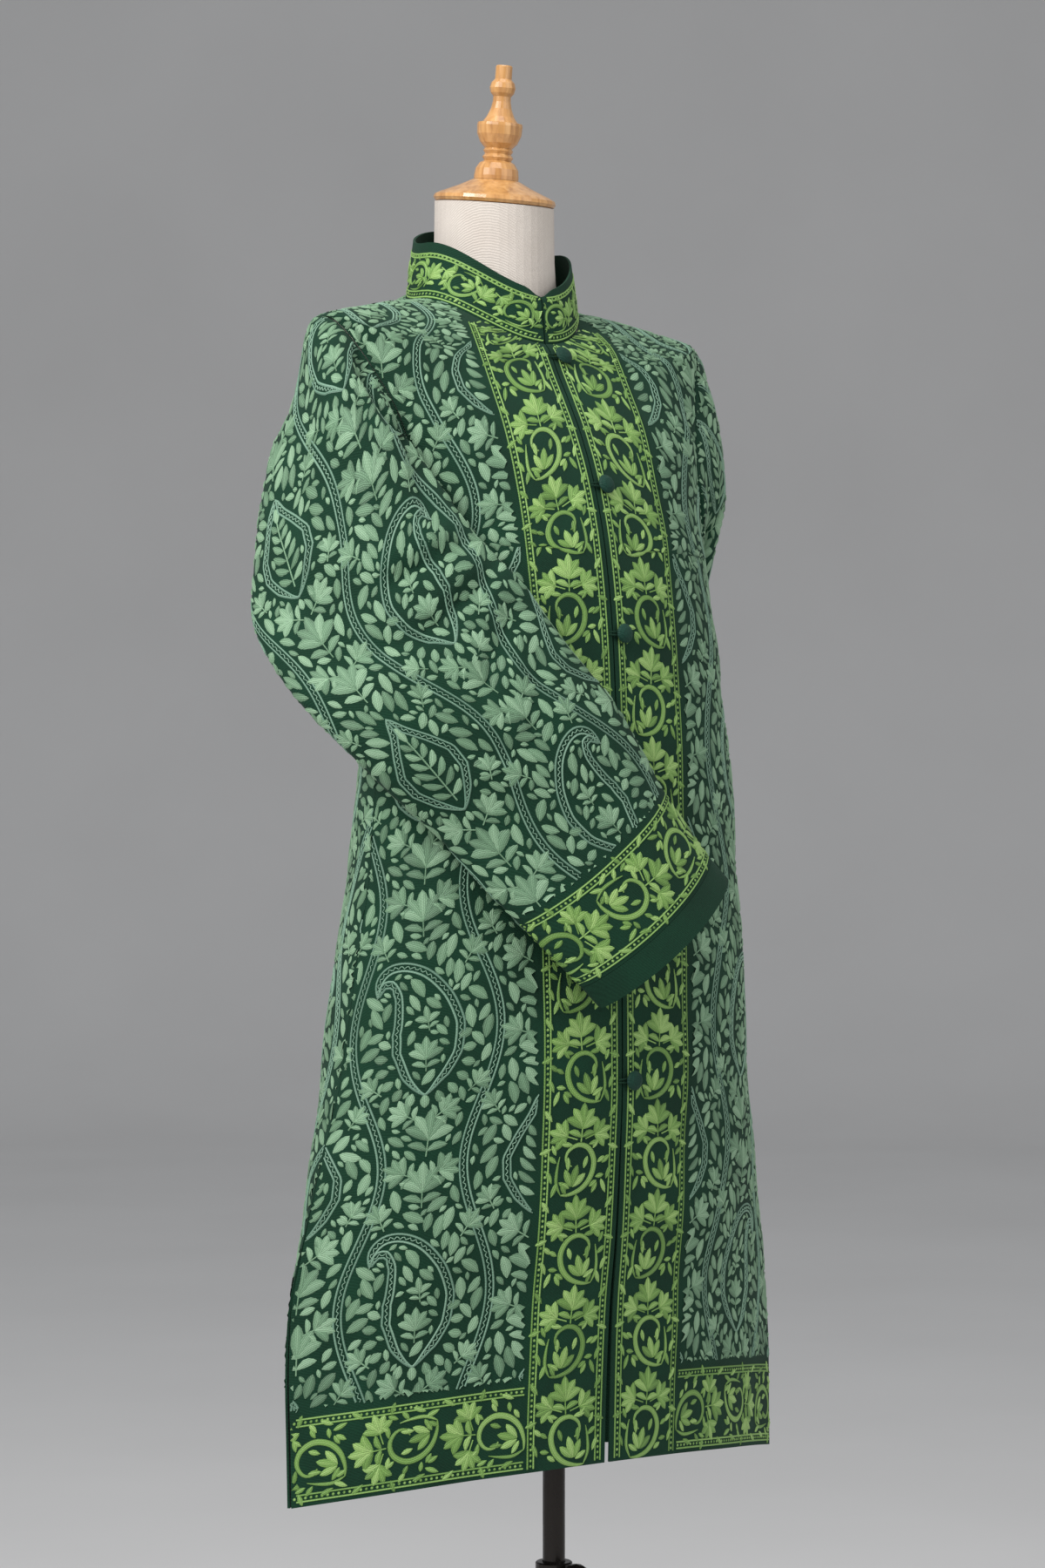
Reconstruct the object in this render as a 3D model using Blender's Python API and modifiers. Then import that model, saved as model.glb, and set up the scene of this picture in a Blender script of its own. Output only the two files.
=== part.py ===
"""A long, collared jacket of embroidered wool on a limbless dress form with a turned neck cap.

Sizes are in millimetres in the tables and become metres when a mesh is made. +Z is up, the front
faces -Y and the wearer's left is +X. The origin is the middle of the stand's foot, on the floor.
"""
import math

import bmesh
import bpy
import numpy as np
from mathutils import Matrix, Vector

MM = 0.001
CLOTH = 2.0
SEAM = 0.35
COLLAR_HEIGHT = {"front": 47.0, "round": 50.0, "inward": 6.0}
CUFF_BAND = 24.0
BUTTON_RADIUS = 8.5
BUTTON_HEIGHTS = (1360, 1246, 1119, 993, 868, 742)
BUTTON_X = 10.0
SLIT_TOP = 680.0
POLE_RADIUS = 9.7
TUBE = {"radius": 12.7, "bore": 10.2, "low": 14.3, "high": 300.0}
POLE_LOW = 72.0
FORM_BOTTOM = 690.0
NECK_Y = 85.0
NECK_TOP = 1500.0
CAP_TILT = 6.9

# The view that the right sleeve's folds were measured in: its direction to the right and away
VIEW_RIGHT = Vector((0.788, -0.616, 0))
VIEW_AWAY = Vector((0.616, 0.788, 0))

# The jacket's body, one row for a level: the level is the row's height at the side. The last
# column is 1 for an oval and 2 for a pointed lens.
BODY_COLUMNS = ("level", "front_z", "back_z", "half_width", "front_y", "side_y", "back_y", "corner")
BODY = np.array([
    (394, 418, 400, 265, -73, 20, 125, 2.00),
    (480, 480, 480, 265, -75, 22, 130, 1.90),
    (551, 551, 551, 260, -79, 24, 140, 1.75),
    (611, 611, 611, 247, -86, 21, 150, 1.50),
    (680, 680, 680, 230, -91, 18, 155, 1.25),
    (742, 742, 742, 214, -94, 15, 159, 1.10),
    (840, 840, 840, 203, -93, 7, 148, 1.00),
    (917, 917, 917, 193, -90, 2, 137, 1.00),
    (990, 990, 990, 188, -88, 0, 128, 1.00),
    (1060, 1060, 1060, 182, -85, 8, 135, 1.00),
    (1119, 1119, 1119, 177, -81, 15, 148, 1.00),
    (1190, 1190, 1190, 174, -71, 28, 163, 1.00),
    (1250, 1247, 1250, 179, -56, 38, 170, 1.00),
    (1310, 1290, 1310, 189, -38, 48, 172, 1.00),
    (1350, 1322, 1340, 197, -20, 55, 170, 1.00),
    (1386, 1345, 1372, 200, -6, 60, 168, 1.00),
    (1398, 1356, 1392, 155, 0, 70, 166, 1.00),
    (1407, 1366, 1412, 112, 6, 80, 163, 1.00),
    (1412, 1372, 1434, 77, 12, 90, 160, 1.00),
], float)
SHOULDER, UNDERARM = 1386.0, 1190.0
ARMHOLE_REACH = {"front": 31.0, "back": 26.0, "power": 0.8}
SKIRT_LEVELS = [394, 437, 480, 530, 580, 630, 680, 720, 770, 822, 875, 930, 985, 1040, 1095, 1145]
NECK_LEVELS = [1392, 1398, 1403, 1407.5, 1412]
EDGE_STEPS = 10

# Soft folds of the skirt: where each is round the body, how wide and deep it is, and its top
SKIRT_FOLDS = (
    {"angle": -58, "wide": 12, "deep": 3.0, "top": 800},
    {"angle": -30, "wide": 9, "deep": -2.5, "top": 700},
    {"angle": 36, "wide": 11, "deep": 3.0, "top": 760},
    {"angle": 62, "wide": 10, "deep": -3.0, "top": 820},
    {"angle": 126, "wide": 14, "deep": -7.0, "top": 860},
    {"angle": 156, "wide": 12, "deep": 6.0, "top": 820},
    {"angle": -158, "wide": 13, "deep": -7.0, "top": 840},
    {"angle": -126, "wide": 12, "deep": 6.0, "top": 820},
)

# The right sleeve, bent across the front. Each end of a section is right, height and away in the
# view; drop lowers its side toward the body, and turn goes from the view's direction to the front.
RIGHT_SLEEVE = (
    {"outer": (-238, 1275, -60), "inner": (-120, 1281, -112), "half": 45, "bow": 15, "drop": 104, "turn": 0.0},
    {"outer": (-247, 1221, -85), "inner": (-82, 1223, -120), "half": 38, "bow": 15, "drop": 66, "turn": 0.0},
    {"outer": (-251, 1178, -105), "inner": (-50, 1187, -128), "half": 34, "bow": 14, "drop": 40, "turn": 0.1},
    {"outer": (-252, 1135, -120), "inner": (-26, 1162, -130), "half": 30, "bow": 13, "drop": 22, "turn": 0.25},
    {"outer": (-240, 1103, -140), "inner": (-10, 1140, -125), "half": 28, "bow": 13, "drop": 10, "turn": 0.4},
    {"outer": (-204, 1056, -165), "inner": (15, 1105, -117), "half": 26, "bow": 13, "drop": 0, "turn": 0.6},
    {"outer": (-152, 1003, -172), "inner": (46, 1064, -103), "half": 24, "bow": 14, "drop": 0, "turn": 0.8},
    {"outer": (-95, 948, -155), "inner": (79, 1006, -85), "half": 22, "bow": 15, "drop": 0, "turn": 0.9},
    {"outer": (-35, 884, -150), "inner": (108, 962, -63), "half": 21, "bow": 15, "drop": 0, "turn": 1.0},
    {"outer": (23, 824, -134), "inner": (131, 930, -46), "half": 19, "bow": 14, "drop": 0, "turn": 1.0},
)
# The left sleeve, hanging behind the side: middle, half width outward, and half of it to the front
LEFT_SLEEVE = (
    {"centre": (190, 95, 1230), "out": 28, "near": (18, -72), "drop": 56},
    {"centre": (186, 98, 1165), "out": 26, "near": (14, -66), "drop": 20},
    {"centre": (183, 102, 1100), "out": 25, "near": (12, -64), "drop": 0},
    {"centre": (185, 106, 1040), "out": 26, "near": (11, -63), "drop": 0},
    {"centre": (187, 109, 970), "out": 24, "near": (9, -62), "drop": 0},
    {"centre": (193, 112, 895), "out": 24, "near": (8, -60), "drop": 0},
    {"centre": (204, 114, 825), "out": 23, "near": (6, -60), "drop": 0},
)
HEAD_SHARES = (0.05, 0.15, 0.3, 0.5, 0.75)
# Creases of the sleeves: place along the rings, place round them, widths and depth
SLEEVE_CREASES = {
    "sleeve_right": (
        {"ring": 5.2, "turn": 80, "long": 0.8, "round": 34, "deep": -6},
        {"ring": 7.4, "turn": 68, "long": 0.8, "round": 34, "deep": -7},
        {"ring": 8.6, "turn": 60, "long": 0.7, "round": 30, "deep": -6},
        {"ring": 9.6, "turn": 62, "long": 0.6, "round": 30, "deep": -5},
        {"ring": 10.6, "turn": 40, "long": 0.7, "round": 30, "deep": -4},
    ),
    "sleeve_left": (
        {"ring": 6.6, "turn": 50, "long": 0.7, "round": 34, "deep": -5},
        {"ring": 8.5, "turn": 70, "long": 0.7, "round": 34, "deep": -5},
    ),
}

COLOURS = {
    "plain_cloth": ((0.006, 0.058, 0.028, 1), 0.85, 0.0),
    "embroidered_cloth": ((0.13, 0.26, 0.15, 1), 0.75, 0.0),
    "button_cloth": ((0.005, 0.045, 0.027, 1), 0.6, 0.0),
    "linen": ((0.60, 0.53, 0.47, 1), 0.9, 0.0),
    "turned_wood": ((0.58, 0.30, 0.10, 1), 0.3, 0.0),
    "dark_steel": ((0.02, 0.018, 0.017, 1), 0.3, 0.8),
}


def smooth(edge0, edge1, value):
    """0 at edge0, 1 at edge1 and a smooth rise between them."""
    t = min(1.0, max(0.0, (value - edge0) / (edge1 - edge0)))
    return t * t * (3 - 2 * t)


def at_level(table, level):
    """A table's row at a level, on a cubic through its rows that doesn't overshoot."""
    levels = table[:, 0]
    level = min(max(level, levels[0]), levels[-1])
    low = min(max(int(np.searchsorted(levels, level)) - 1, 0), len(levels) - 2)
    steps = np.diff(levels)[:, None]
    slopes = np.diff(table, axis=0) / steps

    def slope_at(row):
        if row == 0 or row == len(levels) - 1:
            return slopes[min(row, len(slopes) - 1)]
        before, after = slopes[row - 1], slopes[row]
        total = np.where(before * after > 0, before + after, 1.0)
        return np.where(before * after > 0, 2 * before * after / total, 0.0)

    step = steps[low, 0]
    t = (level - levels[low]) / step
    return ((2 * t**3 - 3 * t**2 + 1) * table[low] + (t**3 - 2 * t**2 + t) * step * slope_at(low)
            + (3 * t**2 - 2 * t**3) * table[low + 1] + (t**3 - t**2) * step * slope_at(low + 1))


def fold_depth(level, angle):
    """How far the skirt's folds move the cloth out at this level and angle."""
    depth = 0.0
    for fold in SKIRT_FOLDS:
        away = (math.degrees(angle) - fold["angle"] + 180) % 360 - 180
        depth += fold["deep"] * math.exp(-((away / fold["wide"]) ** 2)) * smooth(fold["top"], 430, level)
    return depth


def body_point(level, angle):
    """The jacket's outer face. The angle is 0 at the middle of the front and 90 degrees at the left."""
    side_z, front_z, back_z, half_width, front_y, side_y, back_y, corner = at_level(BODY, level)
    ahead = math.cos(angle)
    end_y, end_z = (front_y, front_z) if ahead > 0 else (back_y, back_z)
    reach = abs(ahead) ** corner
    y = side_y + (end_y - side_y) * reach * (1 + fold_depth(level, angle) / 100)
    return Vector((half_width * math.sin(angle), y, side_z + (end_z - side_z) * ahead**2))


def body_normal(level, angle):
    """The outward direction of the jacket's face."""
    turn, rise = 0.02, 1.0
    low, high = max(level - rise, BODY[0, 0]), min(level + rise, BODY[-1, 0])
    across = body_point(level, angle + turn) - body_point(level, angle - turn)
    up = body_point(high, angle) - body_point(low, angle)
    return across.cross(up).normalized()


def level_of(z, angle):
    """The level whose row is at height z at this angle."""
    low, high = BODY[0, 0], BODY[-1, 0]
    for _ in range(24):
        middle = (low + high) / 2
        low, high = (middle, high) if body_point(middle, angle).z < z else (low, middle)
    return (low + high) / 2


def angle_step(level, angle, distance, way):
    """The change of angle that moves a point this far along its row, away from the angle."""
    low, high = 0.0, 0.8
    for _ in range(24):
        middle = (low + high) / 2
        moved = (body_point(level, angle + way * middle) - body_point(level, angle)).length
        low, high = (middle, high) if moved < distance else (low, middle)
    return way * high


def clear_of_body(point, gap):
    """The point, moved outward where it would be nearer than this to the jacket's body."""
    angle = math.atan2(point.x, 1.0)
    for _ in range(4):
        row = at_level(BODY, level_of(point.z, angle))
        depth = (row[5] - row[4]) if point.y < row[5] else (row[6] - row[5])
        across, ahead = point.x / row[3], (row[5] - point.y) / depth
        angle = math.atan2(across, ahead)
    scale = math.hypot(across, ahead)
    middle = Vector((0, row[5], point.z))
    away = point - middle
    wanted = (away.length / max(scale, 1e-6) + gap * 1.15) / max(away.length, 1e-6)
    return middle + away * max(1.0, wanted)


def mesh_object(name, bm, material):
    """A named object from a bmesh in millimetres, with its faces pointing out."""
    bmesh.ops.scale(bm, vec=(MM, MM, MM), verts=bm.verts)
    bmesh.ops.recalc_face_normals(bm, faces=bm.faces)
    mesh = bpy.data.meshes.new(name)
    bm.to_mesh(mesh)
    bm.free()
    mesh.shade_smooth()
    mesh.set_sharp_from_angle(angle=math.radians(50))
    mesh.materials.append(material)
    obj = bpy.data.objects.new(name, mesh)
    parts.objects.link(obj)
    return obj


def wall(name, outer, inner, material, tube=False):
    """A closed wall between two grids of points, rows by columns, that have the same layout."""
    rows, columns = len(outer), len(outer[0])
    bm = bmesh.new()
    out = [[bm.verts.new(p) for p in row] for row in outer]
    ins = [[bm.verts.new(p) for p in row] for row in inner]
    for j in range(columns if tube else columns - 1):
        k = (j + 1) % columns
        for i in range(rows - 1):
            bm.faces.new((out[i][j], out[i][k], out[i + 1][k], out[i + 1][j]))
            bm.faces.new((ins[i][j], ins[i + 1][j], ins[i + 1][k], ins[i][k]))
        bm.faces.new((out[0][j], ins[0][j], ins[0][k], out[0][k]))
        bm.faces.new((out[-1][j], out[-1][k], ins[-1][k], ins[-1][j]))
    if not tube:
        for i in range(rows - 1):
            bm.faces.new((out[i][0], out[i + 1][0], ins[i + 1][0], ins[i][0]))
            bm.faces.new((out[i][-1], ins[i][-1], ins[i + 1][-1], out[i + 1][-1]))
    return mesh_object(name, bm, material)


def arm_levels():
    """The armhole's levels, from the underarm to the shoulder's tip."""
    middle, radius = (SHOULDER + UNDERARM) / 2, (SHOULDER - UNDERARM) / 2
    return [middle - radius * math.cos(math.pi * k / EDGE_STEPS) for k in range(EDGE_STEPS + 1)]


def armhole_angle(level, half):
    """The angle of the armhole's edge at a level, on the front or back half."""
    middle, radius = (SHOULDER + UNDERARM) / 2, (SHOULDER - UNDERARM) / 2
    width = max(0.0, 1 - ((level - middle) / radius) ** 2) ** (ARMHOLE_REACH["power"] / 2)
    reach = math.radians(ARMHOLE_REACH[half]) * width
    return math.pi / 2 - reach if half == "front" else math.pi / 2 + reach


def edge_gap(level):
    """How far a side edge is from the side: a seam above and an open slit in the skirt."""
    return SEAM / 2 + 4.5 * smooth(SLIT_TOP, 420, level)


def front_start(level):
    """The angle of a front's edge: closed at the buttons and a little apart below the last one."""
    half_width = at_level(BODY, level)[3]
    return math.asin((0.7 + 1.9 * smooth(742, 420, level)) / half_width)


def panel_rows(half, columns):
    """The angles of a panel's columns at each level, from its first edge to the side or armhole."""
    for level in SKIRT_LEVELS + arm_levels() + NECK_LEVELS:
        end = armhole_angle(level, half) if UNDERARM < level < SHOULDER else math.pi / 2
        distance = SEAM if UNDERARM < level < SHOULDER else edge_gap(level)
        if half == "front":
            start, end = front_start(level), end + angle_step(level, end, distance, -1)
        else:
            start = end + angle_step(level, end, distance, 1)
            end = 2 * math.pi - start
        yield level, [start + (end - start) * j / (columns - 1) for j in range(columns)]


def cloth_panel(name, half, columns, sign, material):
    """A front or the back: a wall along the jacket's face and as thick as the cloth."""
    outer, inner = [], []
    for level, turns in panel_rows(half, columns):
        turns = [sign * t for t in (turns if sign > 0 else turns[::-1])]
        outer.append([body_point(level, t) for t in turns])
        inner.append([body_point(level, t) - CLOTH * body_normal(level, t) for t in turns])
    return wall(name, outer, inner, material)


def leaving_edge(points, normals, closed, toward):
    """For each point of an edge, the direction along the cloth that leaves it on the side given."""
    count = len(points)
    found = []
    for i in range(count):
        after = points[(i + 1) % count] if closed or i + 1 < count else points[i]
        before = points[i - 1] if closed or i > 0 else points[i]
        away = (after - before).cross(normals[i]).normalized()
        found.append(away if away.dot(toward - points[i]) > 0 else -away)
    return found


def collar_panel(name, columns, material):
    """The stand collar: it leaves the neckline's edge and stands up, a little narrower at its top."""
    level = NECK_LEVELS[-1]
    start = front_start(level)
    turns = [start + (2 * math.pi - 2 * start) * j / (columns - 1) for j in range(columns)]
    points = [body_point(level, t) for t in turns]
    normals = [body_normal(level, t) for t in turns]
    leaving = leaving_edge(points, normals, closed=False, toward=Vector((0, NECK_Y, 1460)))
    outer, inner = [], []
    for share in (0.0, 0.1, 0.5, 0.9, 1.0):
        row_out, row_in = [], []
        for i, (p, normal, away) in enumerate(zip(points, normals, leaving)):
            from_end = min(i, columns - 1 - i)
            height = COLLAR_HEIGHT["front"]
            height += (COLLAR_HEIGHT["round"] - COLLAR_HEIGHT["front"]) * smooth(0, 6, from_end)
            height -= 6 * smooth(0.8, 1.0, share) * (from_end == 0)
            radial = Vector((p.x, p.y - NECK_Y, 0)).normalized()
            out = p + away * SEAM + Vector((0, 0, height * share)) - radial * COLLAR_HEIGHT["inward"] * share
            facing = normal if share == 0 else (radial * height + Vector((0, 0, COLLAR_HEIGHT["inward"]))).normalized()
            row_out.append(out)
            row_in.append(out - CLOTH * facing)
        outer.append(row_out)
        inner.append(row_in)
    return wall(name, outer, inner, material)


def armhole_loop(sign):
    """An armhole's edge: from the shoulder's tip down its front, and up its back."""
    levels = arm_levels()
    front = [(level, armhole_angle(level, "front")) for level in levels[::-1]]
    back = [(level, armhole_angle(level, "back")) for level in levels[1:-1]]
    whole = [(level, sign * t) for level, t in front + back]
    return [body_point(level, t) for level, t in whole], [body_normal(level, t) for level, t in whole]


def section_points(row, count):
    """A sleeve section's points, starting on its outer side and going round by the front."""
    if "centre" in row:
        centre, facing, bow, half = Vector(row["centre"]), Vector((1, 0, 0)), 0, row["out"]
        chord = Vector((*row["near"], 0))
    else:
        ends = [VIEW_RIGHT * row[e][0] + VIEW_AWAY * row[e][2] + Vector((0, 0, row[e][1])) for e in ("outer", "inner")]
        centre, chord = (ends[0] + ends[1]) / 2, (ends[1] - ends[0]) / 2
        facing = (-VIEW_AWAY).lerp(Vector((0, -1, 0)), row["turn"]).normalized()
        bow, half = row["bow"], row["half"]
    points = []
    for k in range(count):
        turn = 2 * math.pi * k / count
        out = facing * (bow * (1 - math.sin(turn) ** 2) + half * math.cos(turn))
        drop = Vector((0, 0, row["drop"] * max(0.0, -math.cos(turn)) ** 1.5))
        points.append(centre + out + chord * math.sin(turn) - drop)
    return points


def ring_normals(rings):
    """The outward normal at each point of a tube's rings."""
    found = []
    for i, ring in enumerate(rings):
        after, before = rings[min(i + 1, len(rings) - 1)], rings[max(i - 1, 0)]
        centre = sum(ring, Vector()) / len(ring)
        row = [(ring[(k + 1) % len(ring)] - ring[k - 1]).cross(after[k] - before[k]).normalized() for k in range(len(ring))]
        outward = sum(n.dot(p - centre) for n, p in zip(row, ring))
        found.append(row if outward > 0 else [-n for n in row])
    return found


def sleeve_rings(name, sign, rows):
    """A sleeve's outer rings, from the armhole's edge over the sleeve head and down the tube."""
    points, normals = armhole_loop(sign)
    count = len(points)
    leaving = leaving_edge(points, normals, closed=True, toward=Vector((sign * 190, 50, 1288)))
    first = [p + v * SEAM for p, v in zip(points, leaving)]
    sections = [section_points(row, count) for row in rows]
    rings = [first]
    for s in HEAD_SHARES:
        ring = []
        for k in range(count):
            start, end = first[k], sections[0][k]
            span = (end - start).length
            out = (leaving[k] * 0.6 + normals[k] * 0.85) * max(24.0, span * 0.6)
            down = (sections[1][k] - end).normalized() * span * 0.8
            ring.append((2 * s**3 - 3 * s**2 + 1) * start + (s**3 - 2 * s**2 + s) * out
                        + (3 * s**2 - 2 * s**3) * end + (s**3 - s**2) * down)
        rings.append(ring)
    rings += sections
    facing = ring_normals(rings)
    for i, ring in enumerate(rings[1:], 1):
        gap = min(3.5, 0.9 + 0.9 * i)
        for k in range(count):
            for crease in SLEEVE_CREASES[name]:
                away = (360 * k / count - crease["turn"] + 180) % 360 - 180
                bell = math.exp(-((away / crease["round"]) ** 2) - ((i - crease["ring"]) / crease["long"]) ** 2)
                ring[k] = ring[k] + facing[i][k] * crease["deep"] * bell
            ring[k] = clear_of_body(ring[k], gap)
    return rings, normals


def sleeve(name, band_name, sign, rows, cloth, band_cloth):
    """One sleeve and the plain band round its cuff."""
    rings, edge_normals = sleeve_rings(name, sign, rows)
    facing = ring_normals(rings)
    facing[0] = edge_normals
    inner = [[p - CLOTH * n for p, n in zip(ring, row)] for ring, row in zip(rings, facing)]
    wall(name, rings, inner, cloth, tube=True)
    middle = [sum(ring, Vector()) / len(ring) for ring in rings[-2:]]
    along = (middle[1] - middle[0]).normalized()
    band = [[p + along * distance for p in rings[-1]] for distance in (SEAM, SEAM + CUFF_BAND)]
    band_in = [[p - CLOTH * n for p, n in zip(ring, facing[-1])] for ring in band]
    wall(band_name, band, band_in, band_cloth, tube=True)


def turned(name, profile, steps, material, place=Matrix.Identity(4)):
    """A turned piece: its profile, radius and height in mm from the top down, round its axis."""
    bm = bmesh.new()
    verts = [bm.verts.new((r * MM, 0, h * MM)) for r, h in profile]
    for a, b in zip(verts, verts[1:]):
        bm.edges.new((a, b))
    mesh = bpy.data.meshes.new(name)
    bm.to_mesh(mesh)
    bm.free()
    mesh.materials.append(material)
    obj = bpy.data.objects.new(name, mesh)
    parts.objects.link(obj)
    screw = obj.modifiers.new("turn", "SCREW")
    screw.steps = screw.render_steps = steps
    screw.use_merge_vertices = True
    screw.merge_threshold = 0.00001
    screw.use_smooth_shade = True
    obj.matrix_world = place
    return obj


def button(name, height, material):
    """A covered button: a domed head on a short shank, standing on the left front near its edge."""
    angle = math.asin(BUTTON_X / at_level(BODY, level_of(height, 0))[3])
    level = level_of(height, angle)
    turn = body_normal(level, angle).to_track_quat("Z", "X").to_matrix().to_4x4()
    r = BUTTON_RADIUS
    profile = [(0, 8.2), (0.5 * r, 7.6), (0.85 * r, 5.8), (r, 4.3), (0.94 * r, 3.2), (2.2, 3.0), (2.2, 0.3), (0, 0.3)]
    return turned(name, profile, 14, material, Matrix.Translation(body_point(level, angle) * MM) @ turn)


def button_loop(name, height, material):
    """A thin cloth loop from the right front's edge round the button's shank."""
    curve = bpy.data.curves.new(name, "CURVE")
    curve.dimensions = "3D"
    curve.bevel_depth = 0.8 * MM
    curve.bevel_resolution = 1
    curve.use_fill_caps = True
    angle = math.asin(BUTTON_X / at_level(BODY, level_of(height, 0))[3])
    level = level_of(height, angle)
    normal = body_normal(level, angle)
    across = (Vector((1, 0, 0)) - normal * normal.x).normalized()
    up = normal.cross(across).normalized()
    middle = body_point(level, angle) + normal * 1.6
    turns = [math.radians(150 - 300 * k / 8) for k in range(9)]
    route = [middle + across * 3.7 * math.cos(t) + up * 3.7 * math.sin(t) for t in turns]
    foot = middle - across * 15
    route = [foot + up * 1.1] + route + [foot - up * 1.1]
    spline = curve.splines.new("POLY")
    spline.points.add(len(route) - 1)
    for point, place in zip(spline.points, route):
        point.co = (*(place * MM), 1)
    curve.materials.append(material)
    obj = bpy.data.objects.new(name, curve)
    parts.objects.link(obj)
    return obj


# How far the form's surface lies inside the jacket's outer face at each level
FORM_INSET = np.array([
    (690, 30), (742, 24), (842, 20), (930, 19), (990, 18), (1060, 15), (1119, 10), (1190, 7), (1247, 5),
    (1310, 4), (1350, 4.2), (1386, 4.2), (1395, 3.1), (1412, 3.1),
], float)
FORM_LEVELS = [FORM_BOTTOM, 722, 770, 822, 875, 930, 985, 1040, 1095, 1145]
# The neck's rings: share of the way from the neckline to the neck's top, and radius
NECK_RINGS = ((0.02, 66), (0.1, 59), (0.25, 55), (0.55, 53), (1.0, 52.5))


def form_torso(name, count, material):
    """The smooth limbless form: it carries the jacket at its shoulders and ends in a plain neck."""
    bm = bmesh.new()
    rings = []
    turns = [2 * math.pi * k / count for k in range(count)]
    for level in FORM_LEVELS + arm_levels() + NECK_LEVELS[:-1]:
        inset = float(np.interp(level, FORM_INSET[:, 0], FORM_INSET[:, 1]))
        ring = [body_point(level, t) - body_normal(level, t) * inset for t in turns]
        rings.append([Vector((p.x, p.y, level)) for p in ring] if level == FORM_BOTTOM else ring)
    tilt = math.tan(math.radians(CAP_TILT))
    for share, radius in NECK_RINGS:
        ring = []
        for t in turns:
            edge = body_point(NECK_LEVELS[-1], t)
            spot = Vector((radius * math.sin(t), NECK_Y - radius * math.cos(t), 0))
            top = NECK_TOP + (spot.y - NECK_Y) * tilt
            spot.z = (edge.z - 5) * (1 - share) + top * share
            ring.append(spot)
        rings.append(ring)
    rings = [[bm.verts.new(p) for p in ring] for ring in rings]
    for low, high in zip(rings, rings[1:]):
        for k in range(count):
            j = (k + 1) % count
            bm.faces.new((low[k], low[j], high[j], high[k]))
    bm.faces.new(rings[0][::-1])
    bm.faces.new(rings[-1])
    return mesh_object(name, bm, material)


def materials():
    """The finishes, one for each kind of surface."""
    made = {}
    for name, (colour, roughness, metallic) in COLOURS.items():
        material = bpy.data.materials.new(name)
        material.use_nodes = True
        shader = material.node_tree.nodes["Principled BSDF"]
        shader.inputs["Base Color"].default_value = colour
        shader.inputs["Roughness"].default_value = roughness
        shader.inputs["Metallic"].default_value = metallic
        made[name] = material
    return made


# Profiles in mm, from the top down: radius and height
FINIAL = [
    (0, 121.5), (6.6, 121.5), (7.3, 120.5), (7.4, 109.6), (10.2, 106.5), (11.4, 102), (10.4, 97.6), (7.8, 94.4),
    (7.9, 90), (9.2, 84), (12.2, 77), (15.4, 72.4), (19.6, 71.4), (20.0, 69), (19.6, 61.5), (16.3, 54),
    (12.0, 49.4), (13.3, 47.4), (11.6, 44.6), (13.7, 41.6), (12.0, 38.6), (15.5, 36.6), (18.8, 31.5),
    (19.7, 25.5), (19.7, 22.0), (0, 22.0),
]
NECK_CAP = [(0, 21.7), (20.5, 21.7), (33, 15.5), (49, 8.8), (53, 6.6), (54, 3.6), (52.4, 1.0), (50, 0.35), (0, 0.35)]
FOOT = [(0, 14), (60, 14), (176, 10), (186, 7.5), (190, 3.5), (190, 0), (0, 0)]
KNOB = [
    (0, 43.5), (5, 42.6), (9, 39.8), (11.7, 35.6), (12.5, 31), (11.7, 26.4), (9, 22.2), (5.2, 19.6), (4, 18.5),
    (4, 16.6), (0, 16.6),
]


def stand(steel, wood):
    """The turned cap and finial above, and the pole, tube, clamp, knob and foot below."""
    tilt = Matrix.Rotation(math.radians(CAP_TILT), 4, "X")
    place = Matrix.Translation(Vector((0, NECK_Y, NECK_TOP)) * MM) @ tilt
    turned("neck_cap", NECK_CAP, 32, wood, place)
    turned("finial", FINIAL, 22, wood, place)
    top = FORM_BOTTOM - 0.3
    turned("pole", [(0, top), (45, top), (45, top - 5), (POLE_RADIUS, top - 5), (POLE_RADIUS, POLE_LOW), (0, POLE_LOW)],
           24, steel)
    high, low = TUBE["high"], TUBE["low"]
    turned("lower_tube", [(TUBE["bore"], high), (TUBE["radius"], high), (TUBE["radius"], low), (TUBE["bore"], low),
                          (TUBE["bore"], high)], 24, steel)
    ring = [(TUBE["bore"], 323), (15, 323), (16, 322), (16, 301.3), (15, 300.3), (TUBE["bore"], 300.3), (TUBE["bore"], 323)]
    turned("clamp_ring", ring, 24, steel)
    forward = Matrix.Rotation(math.radians(90), 4, "X")
    turned("clamp_knob", KNOB, 16, steel, Matrix.Translation(Vector((0, 0, 313 * MM))) @ forward)
    turned("foot", FOOT, 48, steel)


for old in list(bpy.data.objects):
    bpy.data.objects.remove(old)
parts = bpy.data.collections.new("long_jacket_on_dress_form")
bpy.context.scene.collection.children.link(parts)

finish = materials()
cloth_panel("front_right", "front", 12, -1, finish["embroidered_cloth"])
cloth_panel("front_left", "front", 12, 1, finish["embroidered_cloth"])
cloth_panel("back", "back", 23, 1, finish["embroidered_cloth"])
collar_panel("collar", 29, finish["embroidered_cloth"])
sleeve("sleeve_right", "cuff_band_right", -1, RIGHT_SLEEVE, finish["embroidered_cloth"], finish["plain_cloth"])
sleeve("sleeve_left", "cuff_band_left", 1, LEFT_SLEEVE, finish["embroidered_cloth"], finish["plain_cloth"])
for number, height in enumerate(BUTTON_HEIGHTS, 1):
    button(f"button_{number}", height, finish["button_cloth"])
    button_loop(f"button_loop_{number}", height, finish["plain_cloth"])
form_torso("form_torso", 44, finish["linen"])
stand(finish["dark_steel"], finish["turned_wood"])
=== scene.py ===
import math
import bmesh
import bpy
import numpy as np
from mathutils import Matrix, Vector


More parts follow.
